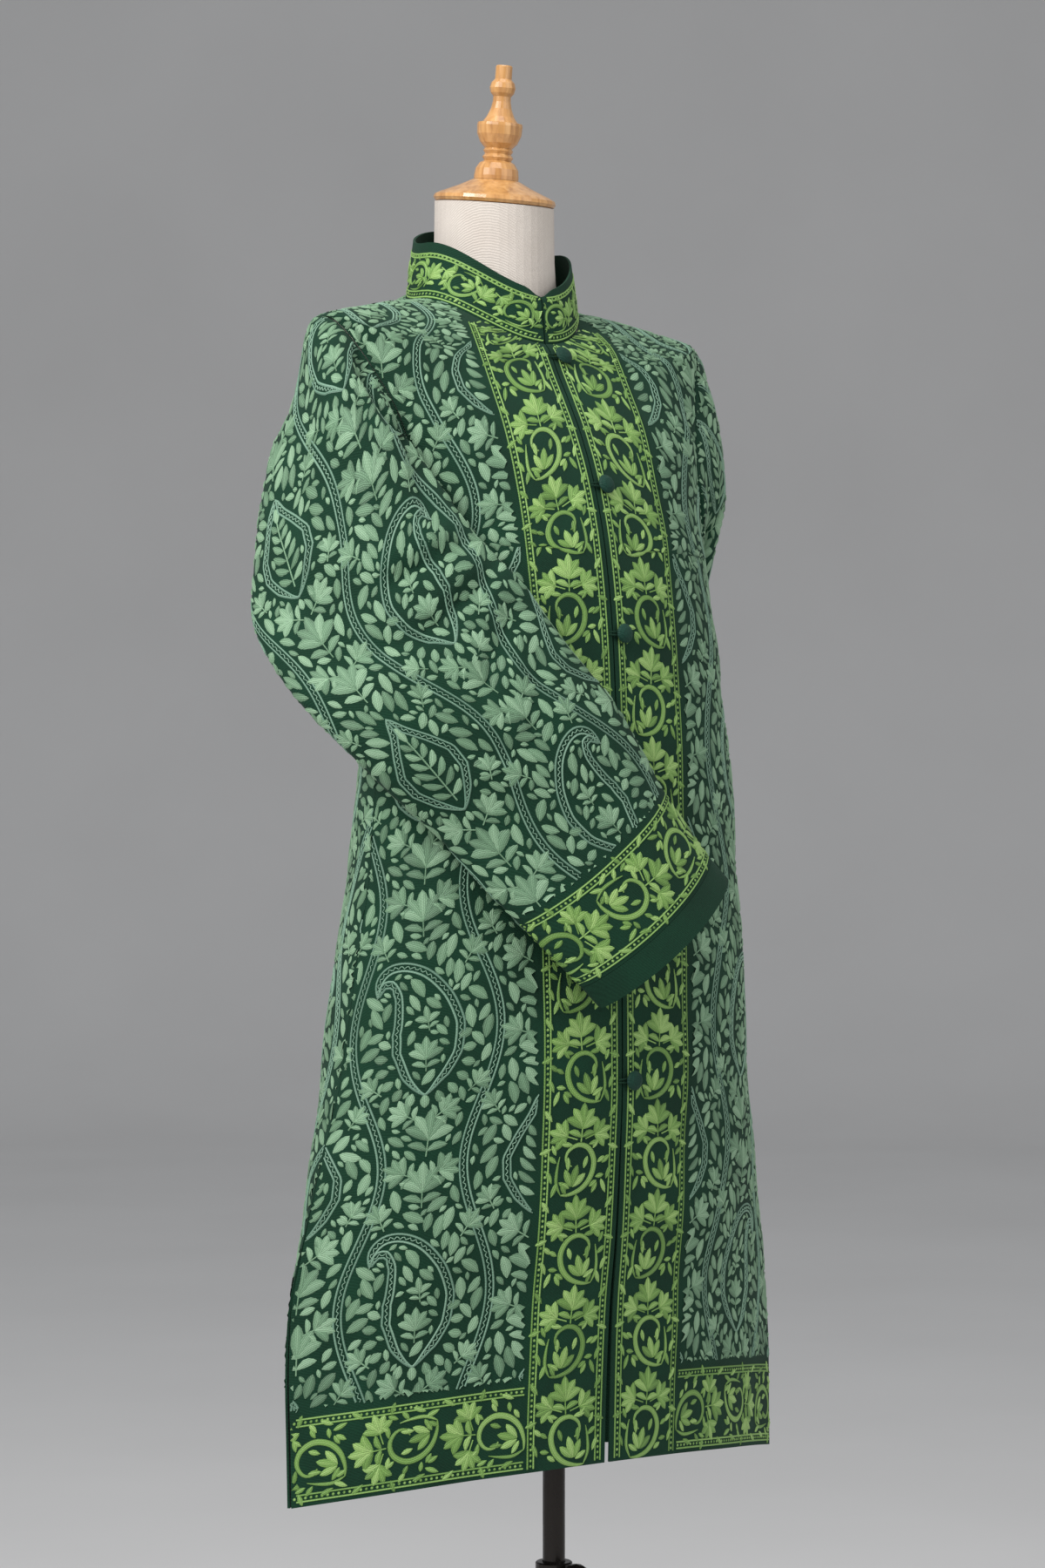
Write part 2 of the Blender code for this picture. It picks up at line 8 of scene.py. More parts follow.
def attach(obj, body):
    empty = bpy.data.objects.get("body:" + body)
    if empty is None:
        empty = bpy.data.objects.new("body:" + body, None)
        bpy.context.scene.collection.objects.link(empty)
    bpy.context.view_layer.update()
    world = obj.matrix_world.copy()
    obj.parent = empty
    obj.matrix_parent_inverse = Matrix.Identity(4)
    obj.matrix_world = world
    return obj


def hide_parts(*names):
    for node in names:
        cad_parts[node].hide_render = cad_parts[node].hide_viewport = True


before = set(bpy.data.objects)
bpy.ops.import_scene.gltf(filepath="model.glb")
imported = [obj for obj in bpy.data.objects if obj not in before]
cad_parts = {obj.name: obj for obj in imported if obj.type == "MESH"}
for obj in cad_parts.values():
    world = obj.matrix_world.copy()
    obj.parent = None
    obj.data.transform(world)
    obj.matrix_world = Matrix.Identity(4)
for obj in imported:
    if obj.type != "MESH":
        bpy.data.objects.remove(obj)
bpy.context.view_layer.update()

# Sizes in the tables are in millimetres. The pattern is laid out flat, across (s) and up (t) the
# cloth, and then placed on the jacket's surface.
mm = 0.001
rng = np.random.default_rng(11)

cloth = {
    "thick": 2.0, "seam": 0.35, "cuffBand": 24.0, "frontColumns": 40, "backColumns": 61, "collarColumns": 113,
}

# The jacket's body, one row for a level, the same as in the part's source: level at the side, height
# at the front and back, half width, y of the front, side and back, and 1 for an oval to 2 for a lens
bodyTable = np.array([
    (394, 418, 400, 265, -73, 20, 125, 2.00), (480, 480, 480, 265, -75, 22, 130, 1.90),
    (551, 551, 551, 260, -79, 24, 140, 1.75), (611, 611, 611, 247, -86, 21, 150, 1.50),
    (680, 680, 680, 230, -91, 18, 155, 1.25), (742, 742, 742, 214, -94, 15, 159, 1.10),
    (840, 840, 840, 203, -93, 7, 148, 1.00), (917, 917, 917, 193, -90, 2, 137, 1.00),
    (990, 990, 990, 188, -88, 0, 128, 1.00), (1060, 1060, 1060, 182, -85, 8, 135, 1.00),
    (1119, 1119, 1119, 177, -81, 15, 148, 1.00), (1190, 1190, 1190, 174, -71, 28, 163, 1.00),
    (1250, 1247, 1250, 179, -56, 38, 170, 1.00), (1310, 1290, 1310, 189, -38, 48, 172, 1.00),
    (1350, 1322, 1340, 197, -20, 55, 170, 1.00), (1386, 1345, 1372, 200, -6, 60, 168, 1.00),
    (1398, 1356, 1392, 155, 0, 70, 166, 1.00), (1407, 1366, 1412, 112, 6, 80, 163, 1.00),
    (1412, 1372, 1434, 77, 12, 90, 160, 1.00),
], float)
hemLevel, neckLevel = bodyTable[0, 0], bodyTable[-1, 0]
shoulder, underarm, slitTop = 1386.0, 1190.0, 680.0
armMiddle, armRadius = (shoulder + underarm) / 2, (shoulder - underarm) / 2
armholeReach = {"front": 31.0, "back": 26.0, "power": 0.8}
frontGap = {"atTop": 0.7, "more": 1.9, "from": 742, "to": 420}
slitGap = {"half": 4.5, "to": 420}
# Angle, width, depth and top of each fold
skirtFolds = (
    (-58, 12, 3.0, 800), (-30, 9, -2.5, 700), (36, 11, 3.0, 760), (62, 10, -3.0, 820), (126, 14, -7.0, 860),
    (156, 12, 6.0, 820), (-158, 13, -7.0, 840), (-126, 12, 6.0, 820),
)
collarShape = {"front": 47.0, "round": 50.0, "inward": 6.0, "centreY": 85.0, "corner": 6}
waves = {"count": 7, "shortest": 60, "longer": 23}
creaseShape = {"ridge": 0.45, "ridgeAway": 1.9, "straight": 0.35, "fade": 22}
search = {"rounds": 12, "damping": 0.4, "margin": 0.02}


def smoothStep(low, high, value):
    t = np.clip((value - low) / (high - low), 0, 1)
    return t * t * (3 - 2 * t)


# A cubic from first to last, with the ways that it leaves and arrives
def cubic(t, first, leaving, last, arriving):
    return ((2 * t**3 - 3 * t**2 + 1) * first + (t**3 - 2 * t**2 + t) * leaving
            + (3 * t**2 - 2 * t**3) * last + (t**3 - t**2) * arriving)
# The table's rows at many levels, on a cubic that doesn't overshoot
def atLevels(levels):
    rows = bodyTable
    steps = np.diff(rows[:, 0])
    slopes = np.diff(rows, axis=0) / steps[:, None]
    inner = np.where(slopes[:-1] * slopes[1:] > 0, slopes[:-1] + slopes[1:], 1.0)
    inner = np.where(slopes[:-1] * slopes[1:] > 0, 2 * slopes[:-1] * slopes[1:] / inner, 0.0)
    tangents = np.vstack([slopes[:1], inner, slopes[-1:]])
    levels = np.clip(levels, rows[0, 0], rows[-1, 0])
    low = np.clip(np.searchsorted(rows[:, 0], levels) - 1, 0, len(rows) - 2)
    step = steps[low][:, None]
    t = (levels[:, None] - rows[low, 0][:, None]) / step
    return cubic(t, rows[low], step * tangents[low], rows[low + 1], step * tangents[low + 1])


# The jacket's outer face at arrays of level and angle
def bodyPoints(levels, angles):
    shape = np.broadcast(levels, angles).shape
    levels = np.broadcast_to(levels, shape).ravel()
    angles = np.broadcast_to(angles, shape).ravel()
    row = atLevels(levels)
    ahead = np.cos(angles)
    endY = np.where(ahead > 0, row[:, 4], row[:, 6])
    endZ = np.where(ahead > 0, row[:, 1], row[:, 2])
    fold = np.zeros(len(levels))
    for place, wide, deep, top in skirtFolds:
        away = (np.degrees(angles) - place + 180) % 360 - 180
        fold += deep * np.exp(-((away / wide) ** 2)) * smoothStep(top, 430, levels)
    y = row[:, 5] + (endY - row[:, 5]) * np.abs(ahead) ** row[:, 7] * (1 + fold / 100)
    z = row[:, 0] + (endZ - row[:, 0]) * ahead**2
    return np.stack([row[:, 3] * np.sin(angles), y, z], axis=-1).reshape(*shape, 3)


def unit(vectors):
    return vectors / np.maximum(np.linalg.norm(vectors, axis=-1, keepdims=True), 1e-9)


# Normals of the body from its own function, so that neighbouring pieces share them at their seams
def bodyNormals(levels, angles):
    low, high = np.maximum(levels - 1, bodyTable[0, 0]), np.minimum(levels + 1, bodyTable[-1, 0])
    across = bodyPoints(levels, angles + 0.02) - bodyPoints(levels, angles - 0.02)
    return unit(np.cross(across, bodyPoints(high, angles) - bodyPoints(low, angles)))


def armholeAngle(level, half):
    width = max(0.0, 1 - ((level - armMiddle) / armRadius) ** 2) ** (armholeReach["power"] / 2)
    reach = math.radians(armholeReach[half]) * width
    return math.pi / 2 - reach if half == "front" else math.pi / 2 + reach


# Levels down the armhole, closer together where it turns
def armholeLevels(steps):
    return [armMiddle - armRadius * math.cos(math.pi * k / steps) for k in range(steps + 1)]


# The change of angle that moves a point this far along its row
def angleStep(level, angle, distance, way):
    turns = np.linspace(0, 0.8, 400)
    points = bodyPoints(level, angle + way * turns)
    moved = np.linalg.norm(points - bodyPoints(level, np.array([angle])), axis=-1)
    return way * float(np.interp(distance, moved, turns))


# How far each place in a row is inside its two ends: 0 at an end, 1 from the span on
def insideEnds(count, span):
    place = np.arange(count)
    return smoothStep(0, span, np.minimum(place, count - 1 - place))


# Each row's value at its own column and at the next
def pairAt(lines, column):
    return [np.take_along_axis(lines, (column + step)[:, None], 1)[:, 0] for step in (0, 1)]
# One piece of cloth: its outer points and normals, row by row, and the way along it in millimetres
class Cloth:
    def __init__(self, name, points, normals, tube=False, zero=0):
        self.name, self.points, self.normals, self.tube = name, points, normals, tube
        alongRows = np.linalg.norm(np.diff(points, axis=1), axis=-1)
        self.across = np.concatenate([np.zeros((len(points), 1)), np.cumsum(alongRows, axis=1)], axis=1)
        self.across -= self.across[:, zero:zero + 1]
        upColumns = np.linalg.norm(np.diff(points, axis=0), axis=-1)
        self.up = np.concatenate([np.zeros((1, points.shape[1])), np.cumsum(upColumns, axis=0)], axis=0)

    # Small soft waves of worn cloth and its named creases, none at the piece's own edges
    def rumple(self, deep, seed, creases=()):
        s, t = self.across, self.up
        wave = np.zeros_like(s)
        for k in range(waves["count"]):
            turn = math.pi * ((seed * 0.37 + k * 0.618) % 1)
            long = waves["shortest"] + waves["longer"] * ((seed + 3 * k) % 5)
            along = s * math.cos(turn) + 0.6 * t * math.sin(turn)
            wave += np.sin(along * 2 * math.pi / long + k * 1.7 + seed)
        rows, columns = s.shape
        fade = insideEnds(rows, 8)[:, None] * insideEnds(columns, columns / 4 if self.tube else 6)
        moved = wave * deep / 2.5
        for (s0, t0), (s1, t1), wide, low in creases:
            along = np.array([s1 - s0, t1 - t0], float)
            length = np.linalg.norm(along)
            u = ((s - s0) * along[0] + (t - t0) * along[1]) / length**2
            aside = ((s - s0) * along[1] - (t - t0) * along[0]) / length
            beyond = np.maximum(0, np.abs(u - 0.5) - creaseShape["straight"]) * length
            ridge = np.exp(-(((aside - creaseShape["ridgeAway"] * wide) / wide) ** 2))
            valley = np.exp(-((aside / wide) ** 2)) - creaseShape["ridge"] * ridge
            moved += low * valley * np.exp(-((beyond / creaseShape["fade"]) ** 2))
        self.points = self.points + self.normals * (moved * fade)[..., None]
        around = np.gradient(self.points, axis=1)
        if self.tube:
            around[:, 0] = around[:, -1] = (self.points[:, 1] - self.points[:, -2]) / 2
        upward = np.gradient(self.points, axis=0)
        found = unit(np.cross(around, upward))
        found = found * np.where((found * self.normals).sum(-1, keepdims=True) < 0, -1, 1)
        self.normals = unit(self.normals * (1 - fade[..., None]) + found * fade[..., None])

    # Where the flat pattern's points come on the cloth, and which of them are on it
    def place(self, flat, height):
        out = np.empty((len(flat), 3))
        inside = np.empty(len(flat), bool)
        for first in range(0, len(flat), 8000):
            part = slice(first, first + 8000)
            out[part], inside[part] = self.placeSome(flat[part], height[part])
        return out, inside

    def placeSome(self, flat, height):
        rows, columns = self.points.shape[:2]
        s, t = flat[:, 0], flat[:, 1]
        fi = t / self.up[-1].mean() * (rows - 1)
        damping, margin = search["damping"], search["margin"]
        for _ in range(search["rounds"]):
            i = np.clip(fi.astype(int), 0, rows - 2)
            w = np.clip(fi - i, 0, 1)[:, None]
            line = self.across[i] * (1 - w) + self.across[i + 1] * w
            j = np.clip((line < s[:, None]).sum(1) - 1, 0, columns - 2)
            left, right = pairAt(line, j)
            fj = j + (s - left) / np.maximum(right - left, 1e-6)
            v = np.clip(fj - j, 0, 1)[:, None]
            line = self.up[:, j].T * (1 - v) + self.up[:, j + 1].T * v
            i = np.clip((line < t[:, None]).sum(1) - 1, 0, rows - 2)
            low, high = pairAt(line, i)
            found = i + (t - low) / np.maximum(high - low, 1e-6)
            fi = np.clip(fi * damping + (1 - damping) * found, -2, rows + 1)
        inside = (fi > -margin) & (fi < rows - 1 + margin) & (fj > -margin) & (fj < columns - 1 + margin)
        i, j = np.clip(fi.astype(int), 0, rows - 2), np.clip(fj.astype(int), 0, columns - 2)
        w, v = np.clip(fi - i, 0, 1)[:, None], np.clip(fj - j, 0, 1)[:, None]

        def blend(grid):
            low = grid[i, j] * (1 - v) + grid[i, j + 1] * v
            high = grid[i + 1, j] * (1 - v) + grid[i + 1, j + 1] * v
            return low * (1 - w) + high * w

        return blend(self.points) + unit(blend(self.normals)) * height[:, None], inside

    # The cloth itself: a wall with both faces and its rims
    def wall(self, thick):
        columns = self.points.shape[1] - int(self.tube)
        outer, inner = self.points[:, :columns], (self.points - self.normals * thick)[:, :columns]
        grid = np.arange(outer[..., 0].size).reshape(len(outer), columns)
        if self.tube:
            grid = np.concatenate([grid, grid[:, :1]], axis=1)
        under = grid + outer[..., 0].size
        a, b, c, d = grid[:-1, :-1], grid[:-1, 1:], grid[1:, 1:], grid[1:, :-1]
        quads = [(a, b, c, d), (under[:-1, :-1], under[1:, :-1], under[1:, 1:], under[:-1, 1:])]
        quads += [(grid[e, :-1], under[e, :-1], under[e, 1:], grid[e, 1:]) for e in (0, -1)]
        if not self.tube:
            quads += [(grid[:-1, e], under[:-1, e], under[1:, e], grid[1:, e]) for e in (0, -1)]
        faces = np.concatenate([np.stack(q, axis=-1).reshape(-1, 4) for q in quads])
        return np.concatenate([outer.reshape(-1, 3), inner.reshape(-1, 3)]), faces


def linked(name, data):
    obj = bpy.data.objects.new(name, data)
    bpy.context.scene.collection.objects.link(obj)
    return obj


def clothMesh(name, verts, faces, material):
    mesh = bpy.data.meshes.new(name)
    mesh.from_pydata((verts * mm).tolist(), [], faces.tolist())
    bm = bmesh.new()
    bm.from_mesh(mesh)
    bmesh.ops.recalc_face_normals(bm, faces=bm.faces)
    bm.to_mesh(mesh)
    bm.free()
    mesh.shade_smooth()
    mesh.set_sharp_from_angle(angle=math.radians(55))
    mesh.materials.append(material)
    return mesh


# Levels from the hem to the neckline, close together where the armhole and the shoulder turn
panelLevels = [
    *np.linspace(hemLevel, underarm, 64)[:-1], *armholeLevels(36), *np.linspace(shoulder, neckLevel, 12)[1:],
]


# The angle of a front's free edge
def frontStart(level):
    halfWidth = atLevels(np.array([level]))[0, 3]
    opened = frontGap["more"] * float(smoothStep(frontGap["from"], frontGap["to"], level))
    return math.asin((frontGap["atTop"] + opened) / halfWidth)
def panelCloth(name, half, columns, sign):
    angles = []
    for level in panelLevels:
        inArmhole = underarm < level < shoulder
        end = armholeAngle(level, half) if inArmhole else math.pi / 2
        slit = slitGap["half"] * float(smoothStep(slitTop, slitGap["to"], level))
        distance = cloth["seam"] if inArmhole else cloth["seam"] / 2 + slit
        if half == "front":
            start, end = frontStart(level), end + angleStep(np.array([level]), end, distance, -1)
        else:
            start = end + angleStep(np.array([level]), end, distance, 1)
            end = 2 * math.pi - start
        angles.append(np.linspace(start, end, columns))
    angles = sign * np.array(angles)
    levels = np.array(panelLevels)[:, None] * np.ones_like(angles)
    zero = 0 if half == "front" else columns // 2
    return Cloth(name, bodyPoints(levels, angles), bodyNormals(levels, angles), zero=zero)


# The way on from a seam's edge, along the cloth and toward a point
def leavingEdge(points, normals, toward, closed):
    after = np.roll(points, -1, axis=0)
    before = np.roll(points, 1, axis=0)
    if not closed:
        after[-1], before[0] = points[-1], points[0]
    away = unit(np.cross(after - before, normals))
    side = np.sign(((toward - points) * away).sum(-1, keepdims=True))
    return away * np.where(side == 0, 1, side)


def collarCloth():
    start, columns = frontStart(neckLevel), cloth["collarColumns"]
    turns = np.linspace(start, 2 * math.pi - start, columns)
    levels = np.full(columns, neckLevel)
    points, normals = bodyPoints(levels, turns), bodyNormals(levels, turns)
    away = leavingEdge(points, normals, np.array([0, collarShape["centreY"], 1460.0]), closed=False)
    fromEnd = np.minimum(np.arange(columns), columns - 1 - np.arange(columns)) / 4
    height = collarShape["front"] + (collarShape["round"] - collarShape["front"]) * smoothStep(0, 6, fromEnd)
    radial = unit(points * [1, 1, 0] - [0, collarShape["centreY"], 0])
    rows, facings = [], []
    for share in (0, 0.04, 0.1, 0.2, 0.3, 0.4, 0.5, 0.6, 0.7, 0.8, 0.86, 0.92, 0.96, 1):
        tall = height - collarShape["corner"] * smoothStep(0.8, 1, share) * smoothStep(1, 0, fromEnd)
        row = points + away * cloth["seam"] - radial * collarShape["inward"] * share
        row[:, 2] += tall * share
        rows.append(row)
        facing = unit(radial * height[:, None] + [0, 0, collarShape["inward"]])
        facings.append(unit(normals * (1 - smoothStep(0, 0.1, share)) + facing * smoothStep(0, 0.1, share)))
    return Cloth("collar", np.array(rows), np.array(facings), zero=0)


# The sleeves' sections, the same as in the part: outer and inner end in the view, and so on
viewRight, viewAway = np.array([0.788, -0.616, 0]), np.array([0.616, 0.788, 0])
rightSleeve = (
    ((-238, 1275, -60), (-120, 1281, -112), 45, 15, 104, 0.0),
    ((-247, 1221, -85), (-82, 1223, -120), 38, 15, 66, 0.0),
    ((-251, 1178, -105), (-50, 1187, -128), 34, 14, 40, 0.1),
    ((-252, 1135, -120), (-26, 1162, -130), 30, 13, 22, 0.25),
    ((-240, 1103, -140), (-10, 1140, -125), 28, 13, 10, 0.4),
    ((-204, 1056, -165), (15, 1105, -117), 26, 13, 0, 0.6),
    ((-152, 1003, -172), (46, 1064, -103), 24, 14, 0, 0.8),
    ((-95, 948, -155), (79, 1006, -85), 22, 15, 0, 0.9),
    ((-35, 884, -150), (108, 962, -63), 21, 15, 0, 1.0), ((23, 824, -134), (131, 930, -46), 19, 14, 0, 1.0),
)
leftSleeve = (
    ((190, 95, 1230), 28, (18, -72), 56), ((186, 98, 1165), 26, (14, -66), 20),
    ((183, 102, 1100), 25, (12, -64), 0), ((185, 106, 1040), 26, (11, -63), 0),
    ((187, 109, 970), 24, (9, -62), 0), ((193, 112, 895), 24, (8, -60), 0),
    ((204, 114, 825), 23, (6, -60), 0),
)
sleeveCreases = {
    "sleeve_right": (
        (5.2, 80, 0.8, 34, -6), (7.4, 68, 0.8, 34, -7), (8.6, 60, 0.7, 30, -6), (9.6, 62, 0.6, 30, -5),
        (10.6, 40, 0.7, 30, -4),
    ),
    "sleeve_left": ((6.6, 50, 0.7, 34, -5), (8.5, 70, 0.7, 34, -5)),
}
headShares = (0.05, 0.15, 0.3, 0.5, 0.75)


# A section's points, from its outer side round by the front
def sectionPoints(row, count):
    turns = 2 * math.pi * np.arange(count)[:, None] / count
    if len(row) == 4:
        centre, facing, bow, half = np.array(row[0], float), np.array([1.0, 0, 0]), 0, row[1]
        chord, drop = np.array([*row[2], 0.0]), row[3]
    else:
        ends = [viewRight * e[0] + viewAway * e[2] + [0, 0, e[1]] for e in row[:2]]
        centre, chord = (ends[0] + ends[1]) / 2, (ends[1] - ends[0]) / 2
        half, bow, drop, turn = row[2:]
        facing = unit(-viewAway * (1 - turn) + np.array([0, -1.0, 0]) * turn)
    out = facing * (bow * (1 - np.sin(turns) ** 2) + half * np.cos(turns))
    lower = np.array([0, 0, drop]) * np.maximum(0, -np.cos(turns)) ** 1.5
    return centre + out + chord * np.sin(turns) - lower


def ringNormals(rings):
    after = np.concatenate([rings[1:], rings[-1:]])
    before = np.concatenate([rings[:1], rings[:-1]])
    around = np.roll(rings, -1, axis=1) - np.roll(rings, 1, axis=1)
    found = unit(np.cross(around, after - before))
    outward = (found * (rings - rings.mean(axis=1, keepdims=True))).sum(axis=(1, 2))
    return found * np.where(outward > 0, 1, -1)[:, None, None]


# The points, moved out where they are nearer to the body than the gap
def clearOfBody(points, gap):
    angle = np.arctan2(points[:, 0], 1.0)
    for _ in range(4):
        low, high = np.full(len(points), 394.0), np.full(len(points), 1412.0)
        for _ in range(24):
            middle = (low + high) / 2
            below = bodyPoints(middle, angle)[:, 2] < points[:, 2]
            low, high = np.where(below, middle, low), np.where(below, high, middle)
        row = atLevels((low + high) / 2)
        depth = np.where(points[:, 1] < row[:, 5], row[:, 5] - row[:, 4], row[:, 6] - row[:, 5])
        across, ahead = points[:, 0] / row[:, 3], (row[:, 5] - points[:, 1]) / depth
        angle = np.arctan2(across, ahead)
    scale = np.hypot(across, ahead)
    middle = np.stack([np.zeros(len(points)), row[:, 5], points[:, 2]], axis=-1)
    away = points - middle
    length = np.maximum(np.linalg.norm(away, axis=-1), 1e-6)
    wanted = (length / np.maximum(scale, 1e-6) + gap * 1.15) / length
    return middle + away * np.maximum(1.0, wanted)[:, None]


# More points between the given ones, on a cubic through them
def refine(grid, factor, axis, closed):
    grid = np.moveaxis(grid, axis, 0)
    count = len(grid)
    steps = np.arange(count * factor if closed else (count - 1) * factor + 1) / factor
    i = np.floor(steps).astype(int)
    t = (steps - i)[:, None, None]

    def pick(k):
        return grid[k % count] if closed else grid[np.clip(k, 0, count - 1)]

    p0, p1, p2, p3 = pick(i - 1), pick(i), pick(i + 1), pick(i + 2)
    fine = 0.5 * (2 * p1 + (p2 - p0) * t + (2 * p0 - 5 * p1 + 4 * p2 - p3) * t**2
                  + (3 * p1 - p0 - 3 * p2 + p3) * t**3)
    return np.moveaxis(fine, 0, axis)


def sleeveCloth(name, sign, rows):
    levels = armholeLevels(10)
    front = [(level, armholeAngle(level, "front")) for level in levels[::-1]]
    back = [(level, armholeAngle(level, "back")) for level in levels[1:-1]]
    loop = np.array(front + back)
    points, normals = bodyPoints(loop[:, 0], sign * loop[:, 1]), bodyNormals(loop[:, 0], sign * loop[:, 1])
    leaving = leavingEdge(points, normals, np.array([sign * 190, 50.0, 1288]), closed=True)
    first = points + leaving * cloth["seam"]
    sections = [sectionPoints(row, len(loop)) for row in rows]
    rings = [first]
    end = sections[0]
    span = np.linalg.norm(end - first, axis=-1, keepdims=True)
    out = (leaving * 0.6 + normals * 0.85) * np.maximum(24, span * 0.6)
    down = unit(sections[1] - end) * span * 0.8
    for share in headShares:
        rings.append(cubic(share, first, out, end, down))
    rings = np.array(rings + sections)
    facing = ringNormals(rings)
    turns = 360 * np.arange(len(loop)) / len(loop)
    for i in range(1, len(rings)):
        for ring, turn, long, wide, deep in sleeveCreases[name]:
            away = (turns - turn + 180) % 360 - 180
            bell = np.exp(-((away / wide) ** 2) - ((i - ring) / long) ** 2)
            rings[i] += facing[i] * (deep * bell)[:, None]
        rings[i] = clearOfBody(rings[i], min(3.5, 0.9 + 0.9 * i))
    normal = ringNormals(rings)
    normal[0] = normals
    fine = refine(refine(rings, 5, 0, False), 4, 1, True)
    fineNormal = ringNormals(fine)
    edge = refine(unit(normal), 4, 1, True)[:1]
    share = smoothStep(0, 5, np.arange(len(fine)))[:, None, None]
    fineNormal = unit(fineNormal * share + edge * (1 - share))
    middle = fine.mean(axis=1)
    along = unit(middle[-1] - middle[-6])
    seam, bandRows = cloth["seam"], 9
    reaches = np.linspace(seam, seam + cloth["cuffBand"], bandRows)
    bandRings = np.array([fine[-1] + along * reach for reach in reaches])
    bandNormal = np.repeat(fineNormal[-1:], bandRows, axis=0)
    zero = fine.shape[1] // 2

    # A tube that starts and ends at the underarm
    def tube(title, points, facings):
        turned = [np.roll(grid[::-1], zero, axis=1) for grid in (points, facings)]
        closed = [np.concatenate([grid, grid[:, :1]], axis=1) for grid in turned]
        return Cloth(title, *closed, tube=True, zero=zero)

    return tube(name, fine, fineNormal), tube(name.replace("sleeve", "cuff_band"), bandRings, bandNormal)


print("stage: cloth surfaces")
frontRight = panelCloth("front_right", "front", cloth["frontColumns"], -1)
frontLeft = panelCloth("front_left", "front", cloth["frontColumns"], 1)
back = panelCloth("back", "back", cloth["backColumns"], 1)
collar = collarCloth()
sleeveRight, bandRight = sleeveCloth("sleeve_right", -1, rightSleeve)
sleeveLeft, bandLeft = sleeveCloth("sleeve_left", 1, leftSleeve)
# Creases: both ends across and up the cloth, half width and depth
creases = {
    "sleeve_right": (
        ((52, 560), (72, 410), 9, -6.5), ((24, 520), (72, 372), 9, -5), ((84, 352), (2, 372), 8, -5.0),
        ((86, 318), (-6, 322), 8, -4.5), ((84, 284), (10, 258), 8, -4.0), ((70, 240), (14, 200), 9, -3.0),
        ((-84, 352), (-30, 330), 9, -3.0), ((-70, 520), (-30, 430), 12, -3.5),
        ((-60, 240), (0, 190), 11, -2.5),
    ),
    "sleeve_left": (
        ((-10, 480), (30, 380), 9, -4), ((40, 330), (-20, 300), 9, -4), ((-40, 260), (20, 230), 9, -3),
    ),
    "front_right": (((150, 960), (235, 860), 12, -3.0), ((170, 700), (250, 640), 14, -2.5)),
    "front_left": (((150, 960), (235, 860), 12, -4.0), ((170, 690), (250, 600), 14, -3.0)),
    "back": (((60, 700), (190, 640), 14, -3.5), ((-60, 700), (-190, 640), 14, -3.5)),
}
for piece, deep, seed in (
    (frontRight, 1.0, 1), (frontLeft, 1.0, 2), (back, 1.2, 3), (sleeveRight, 1.5, 4), (sleeveLeft, 1.5, 5),
):
    piece.rumple(deep, seed, creases[piece.name])


# Shader groups and materials. A value that is a socket is linked, and any other is set.
def fillInputs(tree, node, inputs):
    for label, value in inputs.items():
        if isinstance(value, bpy.types.NodeSocket):
            tree.links.new(value, node.inputs[label])
        else:
            node.inputs[label].default_value = value


def addNode(tree, kind, inputs, **settings):
    node = tree.nodes.new("ShaderNode" + kind)
    for label, value in settings.items():
        setattr(node, label, value)
    fillInputs(tree, node, inputs)
    return node


def noise(tree, vector, **inputs):
    return addNode(tree, "TexNoise", {"Vector": vector, **inputs}).outputs["Fac"]


def mathNode(tree, operation, first, second=None, clamp=False):
    inputs = {0: first} if second is None else {0: first, 1: second}
    return addNode(tree, "Math", inputs, operation=operation, use_clamp=clamp).outputs[0]


# A shader group with named inputs, whose outputs are a height and a tone: a random tone in the wool, painted
# shade in the grooves between the chain stitch's rows
def nodeGroup(name, defaults):
    group = bpy.data.node_groups.new(name, "ShaderNodeTree")
    group.interface.new_socket(name="Vector", in_out="INPUT", socket_type="NodeSocketVector")
    for label, default in defaults.items():
        socket = group.interface.new_socket(name=label, in_out="INPUT", socket_type="NodeSocketFloat")
        socket.default_value = default
    for label in ("Height", "ToneAndShade"):
        group.interface.new_socket(name=label, in_out="OUTPUT", socket_type="NodeSocketFloat")
    return group, group.nodes.new("NodeGroupInput").outputs, group.nodes.new("NodeGroupOutput")


def makeWeave():
    group, given, end = nodeGroup("wool_weave", {"Scale": 900.0, "Fuzz": 0.4})
    fine = noise(group, given["Vector"], Scale=given["Scale"], Detail=3)
    broad = noise(group, given["Vector"], Scale=18)
    waveInputs = {"Vector": given["Vector"], "Scale": 260, "Distortion": 2}
    wave = addNode(group, "TexWave", waveInputs, bands_direction="DIAGONAL").outputs["Fac"]
    height = mathNode(group, "ADD", mathNode(group, "MULTIPLY", fine, given["Fuzz"]), wave)
    toneAndShade = mathNode(group, "ADD", *[mathNode(group, "MULTIPLY", part, 0.5) for part in (fine, broad)])
    fillInputs(group, end, {"Height": height, "ToneAndShade": toneAndShade})
    return group


# Rows of chain stitch: across and along come from the motif's own flat UV, in millimetres
def makeStitch():
    group, given, end = nodeGroup("chain_stitch", {"Row": 1.5, "Stitch": 2.4})
    flat = addNode(group, "SeparateXYZ", {0: given["Vector"]}).outputs
    rows = mathNode(group, "DIVIDE", flat[0], given["Row"])
    shift = mathNode(group, "MULTIPLY", mathNode(group, "FLOOR", rows), 0.5)
    along = mathNode(group, "ADD", mathNode(group, "DIVIDE", flat[1], given["Stitch"]), shift)
    ridge, loop = [
        mathNode(group, "ABSOLUTE", mathNode(group, "SINE", mathNode(group, "MULTIPLY", place, math.pi)))
        for place in (rows, along)
    ]
    dip = mathNode(group, "ADD", mathNode(group, "MULTIPLY", loop, 0.5), 0.5)
    # Darker in the grooves between rows, where the ridge is low: painted shade
    toneAndShade = mathNode(group, "POWER", ridge, 0.5)
    fillInputs(group, end, {"Height": mathNode(group, "MULTIPLY", ridge, dip), "ToneAndShade": toneAndShade})
    return group


weaveGroup, stitchGroup = makeWeave(), makeStitch()


